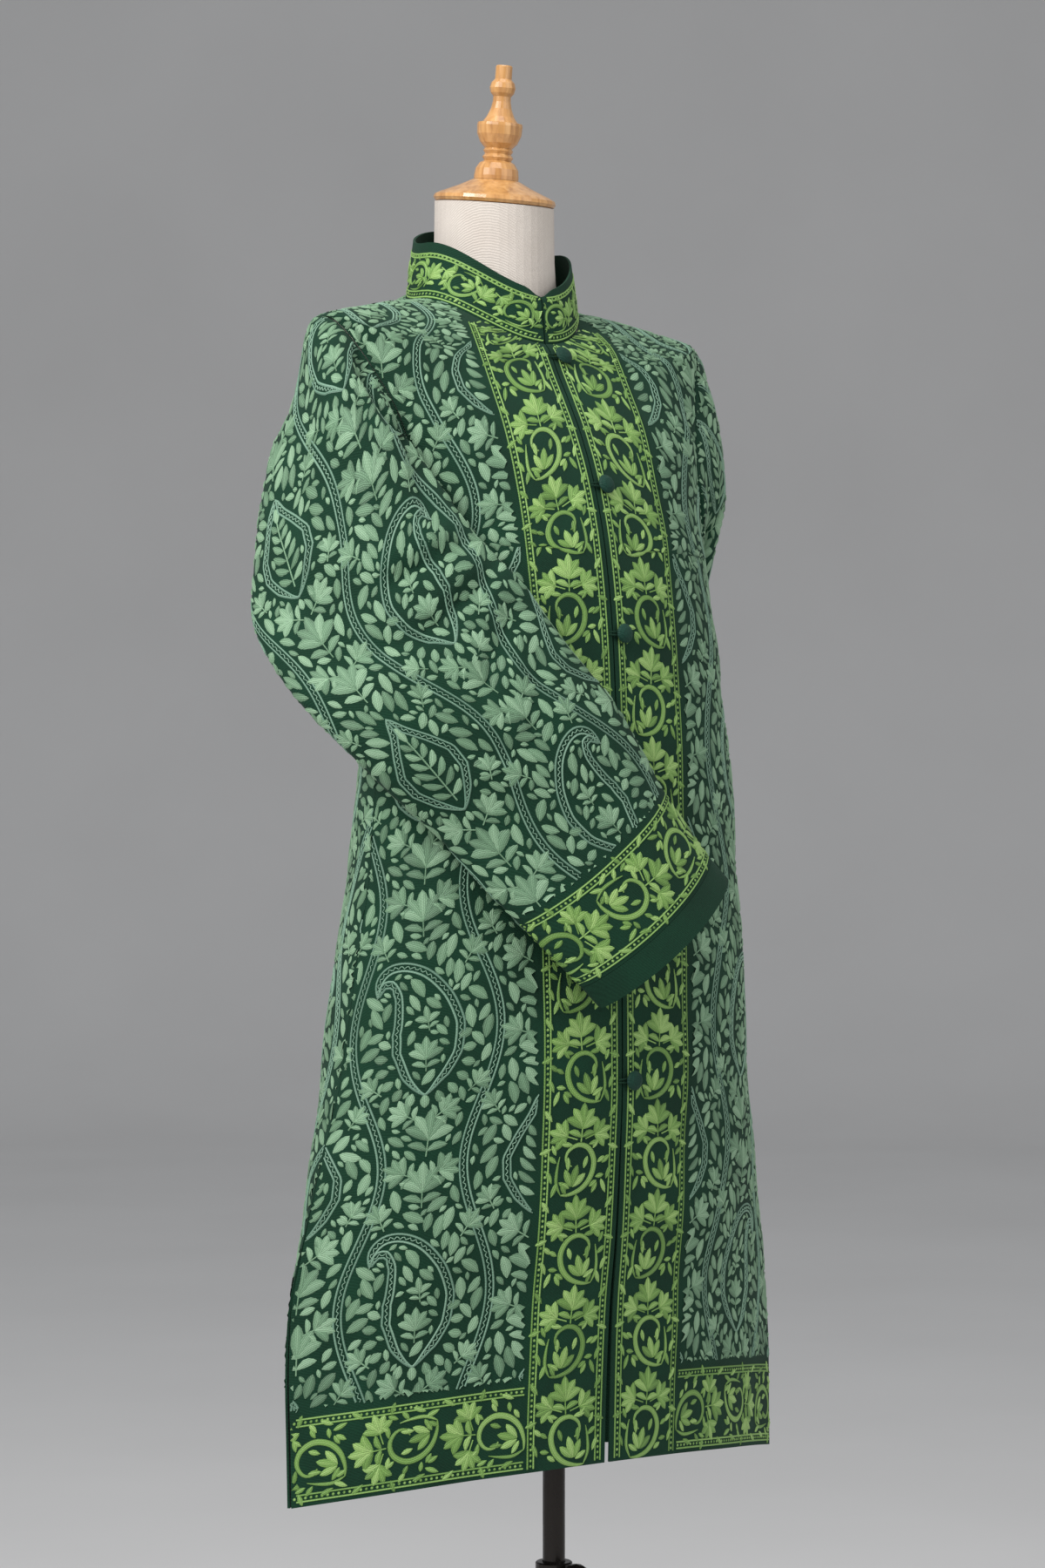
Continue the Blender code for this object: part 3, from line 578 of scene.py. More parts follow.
def newMaterial(name):
    material = bpy.data.materials.new(name)
    material.use_nodes = True
    return material, material.node_tree, material.node_tree.nodes["Principled BSDF"]


def objectSpace(tree):
    return addNode(tree, "TexCoord", {}).outputs["Object"]


def colourRamp(tree, value, *stops):
    ramp = addNode(tree, "ValToRGB", {"Fac": value})
    elements = ramp.color_ramp.elements
    for index, (place, colour) in enumerate(stops):
        element = elements[index] if index < 2 else elements.new(place)
        element.position, element.color = place, (*colour, 1)
    return ramp.outputs["Color"]


def bump(tree, height, strength, distance):
    inputs = {"Strength": strength, "Distance": distance, "Height": height}
    return addNode(tree, "Bump", inputs).outputs["Normal"]


def clothMaterial(name, dark, light, roughness, scale=900.0):
    material, tree, shader = newMaterial(name)
    weave = addNode(tree, "Group", {"Scale": scale, "Vector": objectSpace(tree)}, node_tree=weaveGroup)
    fillInputs(tree, shader, {
        "Base Color": colourRamp(tree, weave.outputs["ToneAndShade"], (0.3, dark), (0.7, light)),
        "Roughness": roughness, "Sheen Weight": 0.03, "Specular IOR Level": 0.25,
        "Normal": bump(tree, weave.outputs["Height"], 0.5, 0.0004),
    })
    return material


def threadMaterial(name, dark, middle, light):
    material, tree, shader = newMaterial(name)
    flat = addNode(tree, "UVMap", {}, uv_map="stitches").outputs["UV"]
    stitch = addNode(tree, "Group", {"Vector": flat}, node_tree=stitchGroup)
    # The shade attribute: each motif's random tone, with painted shade at its low edges and painted light on
    # its raised middle
    shade = addNode(tree, "Attribute", {}, attribute_name="shade").outputs["Fac"]
    colour = colourRamp(tree, shade, (0.0, dark), (1.0, light), (0.5, middle))
    # The rows' tone multiplies the colour down in the grooves between stitch rows: painted shade
    rows = colourRamp(tree, stitch.outputs["ToneAndShade"], (0.0, (0.25, 0.25, 0.25)), (0.8, (1, 1, 1)))
    mix = addNode(tree, "Mix", {"Factor": 0.75, 6: colour, 7: rows}, data_type="RGBA", blend_type="MULTIPLY")
    fillInputs(tree, shader, {
        "Base Color": mix.outputs[2], "Roughness": 0.55, "Sheen Weight": 0.05,
        "Normal": bump(tree, stitch.outputs["Height"], 0.7, 0.0005),
    })
    return material


def woodMaterial(name, dark, middle, light):
    material, tree, shader = newMaterial(name)
    stretch = addNode(tree, "Mapping", {"Vector": objectSpace(tree), "Scale": (90, 90, 9)}).outputs["Vector"]
    grain = noise(tree, stretch, Scale=1.6, Detail=6, Distortion=0.8)
    fillInputs(tree, shader, {
        "Base Color": colourRamp(tree, grain, (0.25, dark), (0.75, light), (0.5, middle)),
        "Roughness": 0.32, "Coat Weight": 0.5, "Coat Roughness": 0.15,
        "Normal": bump(tree, grain, 0.15, 0.0005),
    })
    return material


def metalMaterial(name, dark, light, roughness):
    material, tree, shader = newMaterial(name)
    speckle = noise(tree, objectSpace(tree), Scale=60)
    fillInputs(tree, shader, {
        "Base Color": colourRamp(tree, speckle, (0.3, dark), (0.8, light)),
        "Roughness": mathNode(tree, "MULTIPLY", speckle, roughness * 2, True), "Metallic": 0.6,
    })
    return material


print("stage: materials")
colours = {
    "wool": ((0.0012, 0.020, 0.0085), (0.0030, 0.040, 0.018)),
    "button": ((0.0015, 0.024, 0.014), (0.0035, 0.045, 0.028)),
    "linen": ((0.52, 0.455, 0.40), (0.66, 0.60, 0.54)),
    "field": ((0.06, 0.135, 0.07), (0.15, 0.285, 0.16), (0.27, 0.44, 0.27)),
    "border": ((0.06, 0.15, 0.02), (0.18, 0.35, 0.07), (0.36, 0.56, 0.17)),
    "vine": ((0.085, 0.18, 0.12), (0.155, 0.29, 0.20), (0.25, 0.41, 0.29)),
    "wood": ((0.36, 0.155, 0.042), (0.56, 0.28, 0.09), (0.68, 0.38, 0.15)),
    "enamel": ((0.016, 0.013, 0.011), (0.0256, 0.0208, 0.0176)),
    "wall": ((0.63, 0.62, 0.615), (0.66, 0.65, 0.645)),
}
wool = clothMaterial("wool", *colours["wool"], 0.85)
buttonCloth = clothMaterial("button_cloth", *colours["button"], 0.6, 1200)
linen = clothMaterial("linen_cloth", *colours["linen"], 0.9, 1500)
kinds = ("field", "border", "vine")
threads = [threadMaterial(kind, *colours[kind]) for kind in kinds]
wood = woodMaterial("varnished_wood", *colours["wood"])
enamel = metalMaterial("dark_enamel", *colours["enamel"], 0.28)


# The flat pattern is collected here: points with their height, stitch UVs and shades, and faces; a shade is a
# random tone with painted shade and light by height
class Pattern:
    def __init__(self):
        self.flat, self.height, self.uv, self.shade, self.faces, self.kind = [], [], [], [], [], []
        self.count = 0

    def append(self, flat, height, uv, shade, faces, kind):
        lists = (self.flat, self.height, self.uv, self.shade, self.faces, self.kind)
        for known, added in zip(lists, (flat, height, uv, np.clip(shade, 0, 1), faces + self.count, kind)):
            known.append(added)
        self.count += len(flat)

    def add(self, flat, height, uv, shade, faces, kind):
        # A stitch's low edges are darkened and its raised middle lightened: painted shade between stitches
        # and painted light on their crests
        toneAndPaintedShade = shade + (height - 0.5) * 0.45
        self.append(flat, height, uv, toneAndPaintedShade, np.array(faces), np.full(len(faces), kinds.index(kind)))


# Patterns as one set of arrays
def joined(*patterns):
    starts = np.cumsum([0] + [p.count for p in patterns[:-1]])
    faces = np.concatenate([f + start for p, start in zip(patterns, starts) for f in p.faces])
    columns = zip(*[(p.flat, p.height, p.uv, p.shade, p.kind) for p in patterns])
    return faces, *[np.concatenate([part for parts in column for part in parts]) for column in columns]


# The points that some face uses, and the faces renumbered to them
def keepUsed(faces, *columns):
    used = np.unique(faces)
    number = np.full(len(columns[0]), -1)
    number[used] = np.arange(len(used))
    return number[faces], *[column[used] for column in columns]


# Stitching in millimetres: heights at the edge and the middle, the line's own width and point
# spacing, the way from one zigzag point to the next, and where a motif's stitch UV starts
stitching = {
    "edge": 0.12, "petalEdge": 0.15, "petal": 1.0, "line": 0.8, "knot": 0.9, "lineWide": 1.7, "spacing": 4.0,
    "zigzagPitch": 2.6, "zigzagWide": 0.9, "uvStart": 40,
}
petalSteps = np.array([0.0, 0.18, 0.42, 0.68, 0.88, 1.0])
petalWidths = np.array([0.12, 0.62, 0.98, 0.92, 0.55, 0.06])


def spun(points, turn):
    c, s = math.cos(turn), math.sin(turn)
    return points @ np.array([[c, s], [-s, c]])


# A path's own left, point by point
def leftOf(path):
    ahead = unit(np.gradient(path, axis=0))
    return np.stack([-ahead[:, 1], ahead[:, 0]], axis=-1)


# The same path with evenly spaced points; countFor gives their number from its length
def evenPath(path, countFor):
    path = np.asarray(path, float)
    lengths = np.concatenate([[0], np.cumsum(np.linalg.norm(np.diff(path, axis=0), axis=1))])
    places = np.linspace(0, lengths[-1], countFor(lengths[-1]))
    return places, np.stack([np.interp(places, lengths, path[:, k]) for k in (0, 1)], axis=-1)


# A leaf or petal from its foot: a raised, slightly bent lens
def petal(pattern, foot, turn, length, width, kind="field", bend=0.0, rise=stitching["petal"]):
    shade = rng.uniform(0.15, 0.85)
    along = petalSteps * length
    half = petalWidths * width / 2
    side = bend * np.sin(math.pi * petalSteps) * length * 0.18
    spots = [(i, e) for i in range(len(petalSteps)) for e in (-1, 0, 1)]
    flat = spun(np.array([(side[i] + half[i] * e, along[i]) for i, e in spots]), turn) + foot
    crest = rise * np.minimum(1, 0.35 + petalWidths)
    height = np.array([stitching["petalEdge"] if e else crest[i] for i, e in spots])
    uv = np.array([(half[i] * e, along[i]) for i, e in spots]) + stitching["uvStart"]
    quads = [(k, k + 1, k + 4, k + 3) for i in range(len(petalSteps) - 1) for k in (3 * i, 3 * i + 1)]
    pattern.add(flat, height, uv, shade, quads, kind)


# A line of chain stitch along a path
def stroke(
    pattern, path, width=stitching["lineWide"], kind="vine", shade=None, spacing=stitching["spacing"],
    taper=False,
):
    shade = rng.uniform(0.3, 0.7) if shade is None else shade
    places, line = evenPath(path, lambda length: max(2, int(length / spacing) + 1))
    count = len(line)
    wide = np.full(count, width / 2)
    if taper:
        wide = width / 2 * (0.25 + 0.75 * np.sin(math.pi * np.linspace(0, 1, count) ** 0.8))
    across = leftOf(line) * wide[:, None]
    flat = np.stack([line - across, line, line + across], axis=1).reshape(-1, 2)
    height = np.tile([stitching["edge"], stitching["line"], stitching["edge"]], count)
    uvAcross = stitching["uvStart"] + np.array([-width / 2, 0, width / 2])
    uv = np.stack([np.tile(uvAcross, count), np.repeat(places, 3)], axis=-1)
    quads = [(k, k + 3, k + 4, k + 1) for i in range(count - 1) for k in (3 * i, 3 * i + 1)]
    pattern.add(flat, height, uv, shade, quads, kind)


# A small raised knot
def bead(pattern, centre, radius):
    turns = np.arange(6) * math.pi / 3
    ring = np.stack([np.cos(turns), np.sin(turns)], axis=-1) * radius + centre
    flat = np.vstack([[centre], ring])
    height = np.array([stitching["knot"]] + [stitching["edge"]] * 6)
    triangles = [(0, 1 + k, 1 + (k + 1) % 6, 1 + (k + 1) % 6) for k in range(6)]
    uv = flat - centre + stitching["uvStart"]
    pattern.add(flat, height, uv, rng.uniform(0.3, 0.8), triangles, "border")


def curvePath(points, count):
    points = np.asarray(points, float)
    return refine(points[:, None, :], max(2, count // len(points)), 0, False)[:, 0]


# A motif's own points, mirrored, scaled, turned and set at its centre
def turnFlip(path, centre, turn, flip, scale):
    return spun(np.asarray(path, float) * [flip * scale, scale], turn) + centre


def offsetPath(path, distance):
    return path + leftOf(path) * distance


# A thin zigzag that follows a path
def zigzag(pattern, path, wide, shade):
    pitch = stitching["zigzagPitch"]
    _, line = evenPath(path, lambda length: max(3, int(length / pitch)))
    side = np.where(np.arange(len(line)) % 2, 1, -1)[:, None] * wide / 2
    stroke(pattern, line + leftOf(line) * side, stitching["zigzagWide"], shade=shade, spacing=2.5)


# Two lines side by side
def pairOfLines(pattern, path, gap, **looks):
    for way in (1, -1):
        stroke(pattern, offsetPath(path, way * gap / 2), **looks)


# A small tulip: three or five petals on a short stem, with two leaves
def bloom(pattern, foot, turn, size, kind="field", petals=5, leaves=True):
    foot = np.asarray(foot, float)
    up = np.array([-math.sin(turn), math.cos(turn)])
    stroke(pattern, [foot, foot + up * size * 0.4], width=1.3, kind=kind)
    heart = foot + up * size * 0.34
    spread = np.linspace(-1, 1, petals)
    for aside in spread[np.argsort(-np.abs(spread))]:
        reach, rise = size * (0.66 - 0.12 * abs(aside)), 1.3 - 0.3 * abs(aside)
        petal(pattern, heart, turn - aside * 1.1, reach, size * 0.27, kind, bend=-aside * 0.7, rise=rise)
    for way in (-1, 1) if leaves else ():
        low = foot + up * size * 0.12
        petal(pattern, low, turn + way * 1.25, size * 0.42, size * 0.17, kind, bend=way * 0.6)


# The curled comma of the borders: a thick crescent that ends in a curl, with a bud and leaves inside.
# Its lines are points, width and number of points; its leaves are foot, angle, length and width.
commaLines = (
    ([(13, -25), (4, -24), (-8, -18), (-16, -7), (-17, 7), (-9, 18), (3, 20), (12, 13), (12, 4), (6, 1)],
     5.6, 40),
    ([(13, -25), (19, -15), (20, -2), (19, 9)], 3.2, 16),
)
commaLeaves = (
    ((2, -17), 0.75, 17, 7), ((3, -17), 0.15, 20, 8), ((4, -17), -0.5, 17, 7), ((6, -19), -1.1, 12, 5),
    ((-7, 0), 0.2, 11, 5), ((9, -3), -0.15, 12, 5), ((-21, -7), 1.3, 9, 4.5), ((-21, 6), 0.9, 9, 4.5),
    ((-14, 18), 0.5, 9, 4.5), ((14, 20), -0.8, 10, 5), ((23, 10), -0.5, 10, 4.5),
)


def comma(pattern, centre, flip, turn, scale):
    for points, width, count in commaLines:
        line = turnFlip(curvePath(points, count), centre, turn, flip, scale)
        stroke(pattern, line, width * scale, "border", spacing=3, taper=True)
    for foot, angle, length, width in commaLeaves:
        spot = turnFlip([foot], centre, turn, flip, scale)[0]
        petal(pattern, spot, turn + angle * flip, length * scale, width * scale, "border")


# The border: its width on each piece, its repeat's length and its leaves in one repeat, each with
# its place across in millimetres, its share of the way along, its angle and its length
border = {
    "front": 78.0, "hem": 74.0, "cuff": 76.0, "repeat": 77.0, "inset": 6, "knots": 4.6, "knotRadius": 1.35,
}
collarMotifs = {"repeat": 52, "middle": 22.0, "scale": 0.62}
borderLeaves = (
    (-27, 0.97, -0.4, 13), (27, 0.97, 0.4, 13), (-28, 0.80, 0.6, 12), (28, 0.80, -0.6, 12),
    (-13, 0.98, 0.5, 10), (13, 0.98, -0.5, 10), (-28, 0.50, 1.9, 11), (28, 0.50, -1.9, 11),
    (-27, 0.12, 0.4, 12), (27, 0.12, -0.4, 12),
    (-22, 0.30, 0.9, 10), (23, 0.34, -0.9, 10), (-10, 0.05, 1.0, 9), (10, 0.05, -1.0, 9), (-16, 0.70, 2.3, 9),
    (16, 0.70, -2.3, 9), (-8, 0.52, 1.4, 11), (8, 0.52, -1.4, 11),
)


def borderUnit(pattern, origin, along, flip, width, pitch):
    turn = 0.0 if along == "up" else -math.pi / 2
    scale = min(1.0, (width - 16) / 60)

    def put(x, y):
        return origin + spun(np.array([x * scale, pitch * y]), turn)

    comma(pattern, put(flip * 3, 0.27), flip, turn + 0.12 * flip, scale * 0.95)
    bloom(pattern, put(0, 0.55), turn + 0.08 * flip, 33 * scale, "border")
    for way in (1, -1):
        bloom(pattern, put(-4 * way, 0.58), turn + 1.25 * way, 28 * scale, "border", leaves=False)
    for x, y, angle, length in borderLeaves:
        petal(pattern, put(x, y), turn + angle, length * scale, 4.6 * scale, "border")


# Two lines with a row of knots between them
def edging(pattern, start, end, gap=5.5):
    start, way = np.asarray(start, float), np.asarray(end, float) - start
    length = np.linalg.norm(way)
    path = start + way * np.linspace(0, 1, 13)[:, None]
    pairOfLines(pattern, path, gap, width=1.6, kind="border", spacing=9)
    for k in range(int(length / border["knots"])):
        bead(pattern, start + way * (k + 0.5) * border["knots"] / length, border["knotRadius"])


def borderStrip(pattern, start, length, width, along, phase=0):
    ahead, side = np.eye(2)[::-1] if along == "up" else np.eye(2)
    for across in (border["inset"], width - border["inset"]):
        line = start + side * across
        edging(pattern, line, line + ahead * length)
    count = max(1, round(length / border["repeat"]))
    pitch = length / count
    for k in range(count):
        origin = start + side * width / 2 + ahead * pitch * k
        borderUnit(pattern, origin, along, 1 if (k + phase) % 2 else -1, width, pitch)


# The field's big motifs, each a spine with its half widths
paisleyShape = {
    "spine": [(0, -56), (0, -40), (-2, -20), (-3, 0), (1, 20), (10, 38), (24, 48), (36, 44), (40, 32)],
    "half": np.array([0, 19, 29, 30, 25, 18, 11, 6, 0], float), "line": 1.9,
}
leafShape = {
    "spine": [(0, -50), (0, -36), (0, -18), (0, 0), (0, 18), (0, 34), (0, 50)],
    "half": np.array([0, 18, 29, 30, 20, 9, 0], float), "line": 1.8,
}
outlineInsets, zigzagInset, zigzagAcross = (0, 6.5), 3.2, 3.0


# Two outlines of a motif, one inside the other, and a zigzag between them
def outlines(pattern, shape, centre):
    spine = curvePath(shape["spine"], 8 * len(shape["spine"]))

    def outline(inset):
        share = np.linspace(0, 1, len(shape["half"]))
        wide = np.interp(np.linspace(0, 1, len(spine)), share, np.maximum(shape["half"] - inset, 0))[:, None]
        across = leftOf(spine) * wide
        return np.vstack([spine + across, (spine - across)[::-1]]) + centre

    for inset in outlineInsets:
        stroke(pattern, outline(inset), shape["line"])
    zigzag(pattern, outline(zigzagInset), zigzagAcross, 0.8)


# Petals round a motif's foot
def petalFan(pattern, centre, reach, count, radii, low, length, width):
    for angle in np.linspace(-reach, reach, count):
        foot = np.array([radii[0] * math.sin(angle), low - radii[1] * math.cos(angle)]) + centre
        petal(pattern, foot, math.pi + angle, length, width)


def bigPaisley(pattern, centre):
    outlines(pattern, paisleyShape, centre)
    centre = np.asarray(centre)
    bloom(pattern, centre + (-1, -36), 0, 30)
    bloom(pattern, centre + (-4, -2), -0.15, 22, petals=3)
    petal(pattern, centre + (4, 16), -0.5, 17, 7)
    petalFan(pattern, centre, 2.0, 13, (31, 31), -24, 12, 8)


def bigLeaf(pattern, centre):
    outlines(pattern, leafShape, centre)
    centre = np.asarray(centre)
    stroke(pattern, [centre + (0, -40), centre + (0, 32)], width=1.6, kind="field")
    for k in range(6):
        for way in (-1, 1):
            foot, length = centre + (way, -34 + 10 * k), 20 - 2.4 * abs(k - 1.5)
            petal(pattern, foot, -way * (1.0 - 0.08 * k), length, 6.5, bend=way * 0.4)
    petal(pattern, centre + (0, 24), 0, 16, 7)
    petalFan(pattern, centre, 1.5, 9, (31, 30), -22, 10, 6.5)


# The field's repeat. Each bloom has its foot, turn and size; each size of leaf its length, width
# and number of tries to place it.
field = {"wide": 196.0, "high": 232.0, "vineSway": 15, "vineGap": 6.5, "cell": 1.2}
fieldBlooms = (
    ((0, 140), 0, 40), ((-2, 184), 0.1, 42), ((96, 12), 0.0, 42), ((98, 62), 0.05, 44), ((94, 104), 1.0, 32),
    ((102, 104), -1.0, 32), ((-4, 166), 1.15, 30), ((6, 166), -1.15, 30), ((-6, 216), 1.0, 28),
    ((6, 216), -1.0, 28), ((92, 44), 1.2, 30), ((104, 44), -1.2, 30), ((-34, 112), 0.6, 27),
    ((30, 124), -0.4, 26), ((-36, 4), 0.9, 24), ((36, 10), -0.9, 24), ((62, 132), 0.5, 24),
    ((134, 132), -0.5, 24), ((64, 216), 0.6, 24), ((132, 214), -0.6, 24),
)
fieldLeaves = ((20, 9.5, 1500), (16, 8, 2500), (13, 6.5, 3500), (10, 5.2, 4500), (7.5, 4, 4500))


# One repeat of the field: its vines and motifs, and small leaves in what they leave free
def fieldUnit():
    made = Pattern()
    wide, high, cell = field["wide"], field["high"], field["cell"]
    rise = np.linspace(0, high, 40)
    for middle, way in ((wide * 0.25, 1), (wide * 0.75, -1)):
        path = np.stack([middle + way * field["vineSway"] * np.sin(2 * math.pi * rise / high), rise], axis=-1)
        pairOfLines(made, path, field["vineGap"])
        zigzag(made, path, field["vineGap"] * 0.42, 0.75)
    bigPaisley(made, (0, 62))
    bigLeaf(made, (wide / 2, 174))
    for foot, turn, size in fieldBlooms:
        bloom(made, foot, turn, size)
    full = np.zeros((int(wide / cell), int(high / cell)), bool)

    def cellsOf(spots):
        found = (spots / cell).astype(int) % full.shape
        return found[..., 0], found[..., 1]

    faces, flat = joined(made)[:2]
    corners = flat[faces]
    for u in np.linspace(0, 1, 5):
        for v in np.linspace(0, 1, 3):
            low = corners[:, 0] * (1 - u) + corners[:, 1] * u
            full[cellsOf(low * (1 - v) + (corners[:, 3] * (1 - u) + corners[:, 2] * u) * v)] = True
    places = np.meshgrid(np.linspace(-0.34, 0.34, 5), np.linspace(0.05, 0.95, 9))
    across, along = [place.ravel() for place in places]
    for length, width, tries in fieldLeaves:
        for _ in range(tries):
            foot = np.array([rng.uniform(0, wide), rng.uniform(0, high)])
            turn = rng.choice([-1, 1]) * rng.uniform(0.1, 1.3)
            cells = cellsOf(spun(np.stack([across * width, along * length], axis=-1), turn) + foot)
            if not full[cells].any():
                full[cells] = True
                petal(made, foot, turn, length, width, bend=rng.uniform(-0.4, 0.4))
    return made


print("stage: flat pattern")
unitOfField = fieldUnit()
print("one repeat has", unitOfField.count, "points")


# The repeat laid over an area of cloth, without the faces that reach past the area's own limits
def fieldOver(sRange, tRange, allowed, shift):
    faces, flat, height, uv, shade, kind = joined(unitOfField)
    out = Pattern()
    sizes = (field["wide"], field["high"])
    columns, rows = [
        range(math.floor((low - start) / size) - 1, math.ceil((high - start) / size) + 2)
        for (low, high), start, size in zip((sRange, tRange), shift, sizes)
    ]
    for column in columns:
        for row in rows:
            placed = flat + [column * sizes[0] + shift[0], row * sizes[1] + shift[1]]
            good = allowed(placed[:, 0], placed[:, 1])[faces].all(axis=1)
            if good.any():
                # A random shift of each repeat's tone; the painted shade and light by height stay in it
                toneAndPaintedShade = shade + rng.uniform(-0.1, 0.1)
                out.append(placed, height, uv, toneAndPaintedShade, faces[good], kind[good])
    return out


def embroidery(piece, patterns):
    faces, flat, height, uv, shade, kind = joined(*patterns)
    faces, flat, height, uv, shade = keepUsed(faces, flat, height, uv, shade)
    points, inside = piece.place(flat, height + 0.05)
    good = inside[faces].all(axis=1)
    kind = kind[good]
    faces, flat, points, uv, shade = keepUsed(faces[good], flat, points, uv, shade)
    a, b, c = [points[faces[:, k]] for k in range(3)]
    outward = piece.place(flat, np.ones(len(flat)))[0] - piece.place(flat, np.zeros(len(flat)))[0]
    facing = (np.cross(b - a, c - a) * outward[faces[:, 0]]).sum(axis=-1)
    polygons = [f[:3] if f[2] == f[3] else f for f in faces.tolist()]
    polygons = [f if way > 0 else f[::-1] for f, way in zip(polygons, facing)]
    mesh = bpy.data.meshes.new(piece.name + "_stitching")
    mesh.from_pydata((points * mm).tolist(), [], polygons)
    corners = np.empty(len(mesh.loops), int)
    mesh.loops.foreach_get("vertex_index", corners)
    mesh.uv_layers.new(name="stitches").data.foreach_set("uv", uv[corners].ravel())
    mesh.attributes.new("shade", "FLOAT", "POINT").data.foreach_set("value", shade)
    for thread in threads:
        mesh.materials.append(thread)
    mesh.polygons.foreach_set("material_index", kind)
    mesh.shade_smooth()
    obj = linked(mesh.name, mesh)
    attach(obj, "form")
    print(obj.name, len(polygons), "faces")
    stitched[piece.name] = obj


print("stage: cloth shells")
clothPieces, stitched = {}, {}
for piece in (frontRight, frontLeft, back, collar, sleeveRight, sleeveLeft, bandRight, bandLeft):
    obj = linked(piece.name + "_wool", clothMesh(piece.name + "_wool", *piece.wall(cloth["thick"]), wool))
    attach(obj, "form")
    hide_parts(piece.name)
    clothPieces[piece.name] = obj

print("stage: embroidery")
frontWide, hemHigh, cuffHigh, repeat = [border[size] for size in ("front", "hem", "cuff", "repeat")]
clear = 4
for piece in (frontRight, frontLeft):
    edge = Pattern()
    borderStrip(edge, (2, 3), repeat * 14, frontWide, "up")
    borderStrip(edge, (frontWide + 3, 1), repeat * 3, hemHigh, "across", 1)
    limits = (70, 340), (60, float(frontRight.up[-1].max()))
    embroidery(piece, [edge, fieldOver(
        *limits, lambda s, t: (s > frontWide + clear) & (t > hemHigh + clear), (frontWide + 102, 96)
    )])
edge = Pattern()
borderStrip(edge, (-repeat * 3.5, 1), repeat * 7, hemHigh, "across")
limits = (-330, 330), (60, float(back.up[-1].max()))
embroidery(back, [edge, fieldOver(*limits, lambda s, t: t > hemHigh + clear, (0, 96))])
for piece, start in ((sleeveRight, 20), (sleeveLeft, 0)):
    half = float(np.abs(piece.across[0]).max())
    edge = Pattern()
    borderStrip(edge, (-half, 1), 2 * half, cuffHigh, "across")
    limits = (-260, 260), (60, float(piece.up[-1].max()))
    embroidery(piece, [edge, fieldOver(*limits, lambda s, t: t > cuffHigh + clear, (start, 60))])
edge = Pattern()
collarLong = float(collar.across[0, -1])
edging(edge, (3, 5), (collarLong - 3, 5))
edging(edge, (5, 39), (collarLong - 5, 39), 3)
count = round(collarLong / collarMotifs["repeat"])
for k in range(count):
    spot = np.array([(k + 0.5) * collarLong / count, collarMotifs["middle"]])
    comma(edge, spot + [-12, 0], 1 if k % 2 else -1, math.pi / 2, collarMotifs["scale"])
    bloom(edge, spot + [6, -11], -0.3, 24, "border")
    bloom(edge, spot + [16, 8], -1.9, 17, "border", leaves=False)
    for x, y, angle in ((-24, 8, 0.5), (0, 8, 0.8), (22, -8, -0.7), (-22, -9, 0.9)):
        petal(edge, spot + [x, y], angle, 9, 4.5, "border")
embroidery(collar, [edge])

print("stage: form, buttons, wood and metal")
nodeFinish = {"form_torso": linen, "neck_cap": wood, "finial": wood}
nodeFinish.update({name: enamel for name in ("pole", "lower_tube", "clamp_ring", "clamp_knob", "foot")})
for number in range(1, 7):
    nodeFinish.update({f"button_{number}": buttonCloth, f"button_loop_{number}": wool})
for node, material in nodeFinish.items():
    bpy.data.objects[node].data.materials.clear()
    bpy.data.objects[node].data.materials.append(material)

# The plain pale wall and floor: one bent sheet, far enough out for a camera on any side
print("stage: room, light and camera")
view = {
    "azimuth": -38.0, "distance": 3.4, "height": 0.992, "lens": 90.66, "poleAcross": 36.0, "focal": 4533.0,
}
room = {
    "wallY": 9.5, "floorFront": -14.0, "half": 14.0, "high": 6.5, "bend": 2.0, "below": 0.0005, "steps": 12,
}
bendY, bend = room["wallY"] - room["bend"], room["bend"]
profile = [(room["floorFront"], 0.0), (bendY, 0.0)]
for k in range(1, room["steps"]):
    turn = math.pi / 2 * k / room["steps"]
    profile.append((bendY + bend * math.sin(turn), bend * (1 - math.cos(turn))))
profile += [(room["wallY"], bend), (room["wallY"], room["high"])]
spin = Matrix.Rotation(math.radians(view["azimuth"]), 4, "Z")
half = room["half"]
wallVerts = [spin @ Vector((x, y, z - room["below"])) for y, z in profile for x in (-half, half)]
wallMesh = bpy.data.meshes.new("studio_wall")
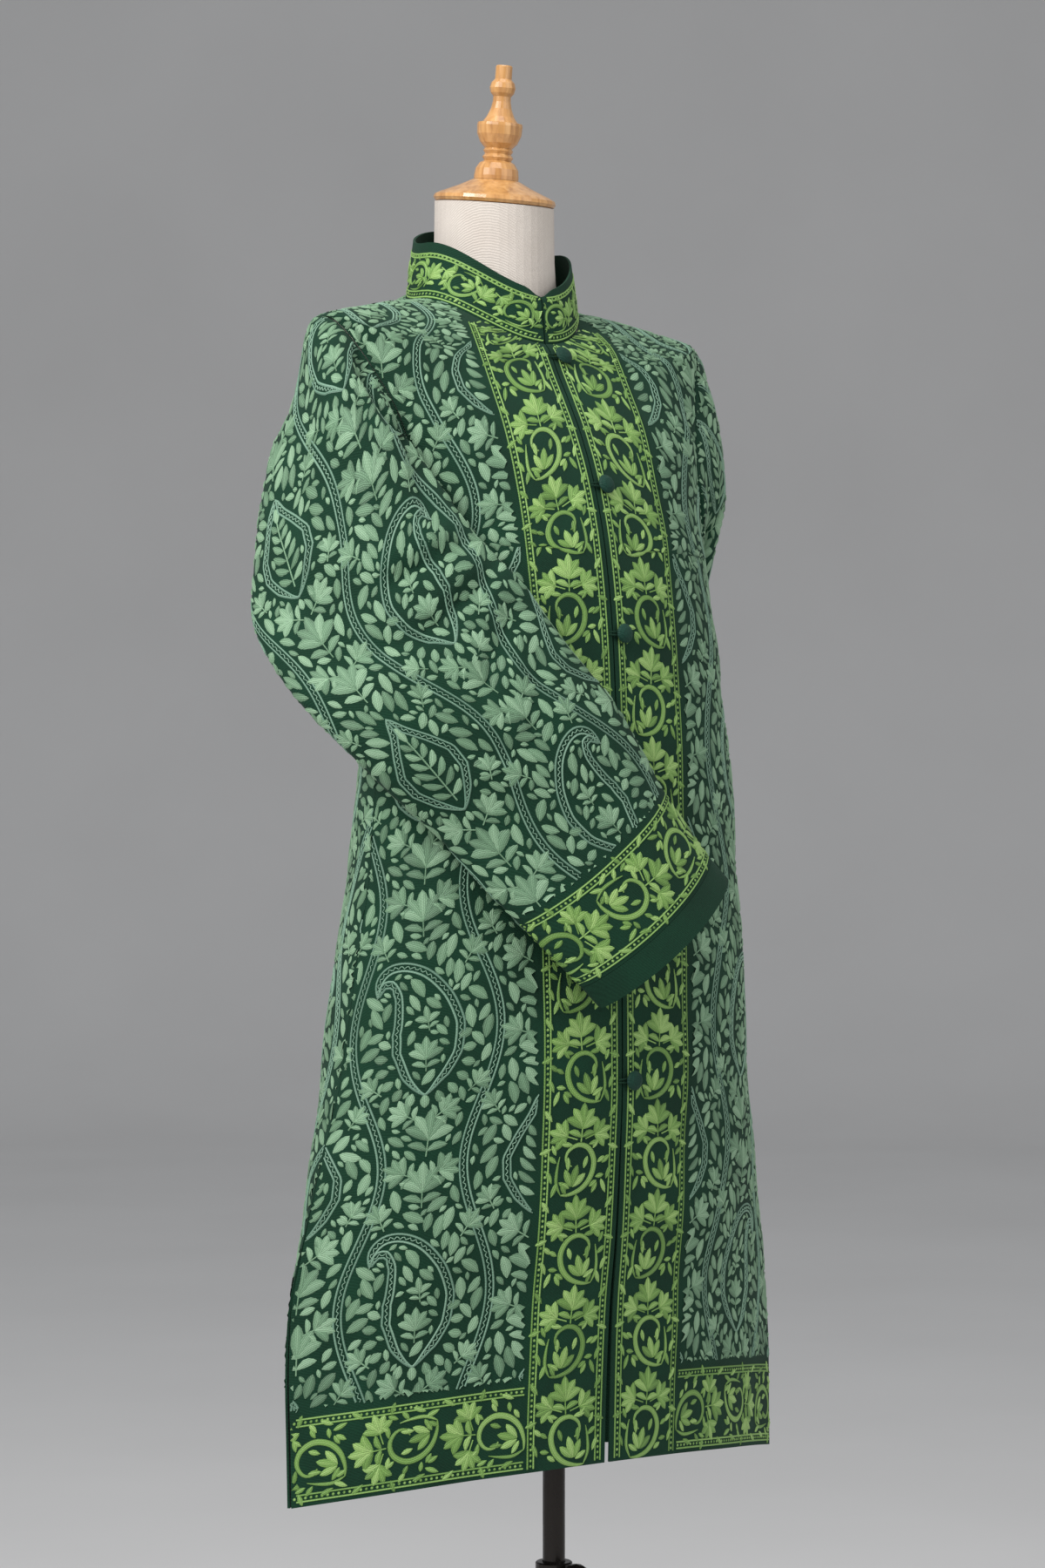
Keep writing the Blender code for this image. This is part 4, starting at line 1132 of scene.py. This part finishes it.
wallFaces = [(2 * k, 2 * k + 1, 2 * k + 3, 2 * k + 2) for k in range(len(profile) - 1)]
wallMesh.from_pydata([tuple(v) for v in wallVerts], [], wallFaces)
wallMesh.shade_smooth()
wallPaint, tree, shader = newMaterial("pale_wall")
mottle = noise(tree, objectSpace(tree), Scale=1.5, Detail=5)
wallTones = colourRamp(tree, mottle, *zip((0.3, 0.7), colours["wall"]))
fillInputs(tree, shader, {"Base Color": wallTones, "Roughness": 0.9})
wallMesh.materials.append(wallPaint)
linked("studio_wall", wallMesh)

world = bpy.data.worlds.new("studio")
bpy.context.scene.world = world
world.use_nodes = True
background = world.node_tree.nodes["Background"]
fillInputs(world.node_tree, background, {"Color": (0.94, 0.97, 1.0, 1), "Strength": 0.45})


# Square lamps that look at the jacket's middle
def areaLight(name, azimuth, elevation, distance, size, power):
    light = bpy.data.lights.new(name, "AREA")
    light.shape, light.size, light.energy = "SQUARE", size, power
    obj = linked(name, light)
    obj.visible_camera = False
    a, e = math.radians(azimuth), math.radians(elevation)
    away = Vector((math.sin(a) * math.cos(e), -math.cos(a) * math.cos(e), math.sin(e))) * distance
    obj.location = Vector((0, 0, 1.0)) + away
    obj.rotation_euler = (-away).to_track_quat("-Z", "Y").to_euler()


areaLight("key", -80, 34, 3.2, 1.2, 92)
areaLight("fill", 20, 20, 3.4, 2.2, 24)
areaLight("top", -30, 72, 2.8, 1.8, 26)

# The camera stands level with the jacket's middle, at the photo's angle
camera = linked("camera", bpy.data.cameras.new("camera"))
camera.data.lens = view["lens"]
camera.data.sensor_width = 36
camera.data.clip_end = 50
azimuth = math.radians(view["azimuth"])
away = Vector((-math.sin(azimuth), math.cos(azimuth), 0))
camera.location = -away * view["distance"] + Vector((0, 0, view["height"]))
ahead = Matrix.Rotation(math.atan(view["poleAcross"] / view["focal"]), 3, "Z") @ away
camera.rotation_euler = ahead.to_track_quat("-Z", "Y").to_euler()
bpy.context.scene.camera = camera
bpy.context.scene.view_settings.view_transform = "Standard"
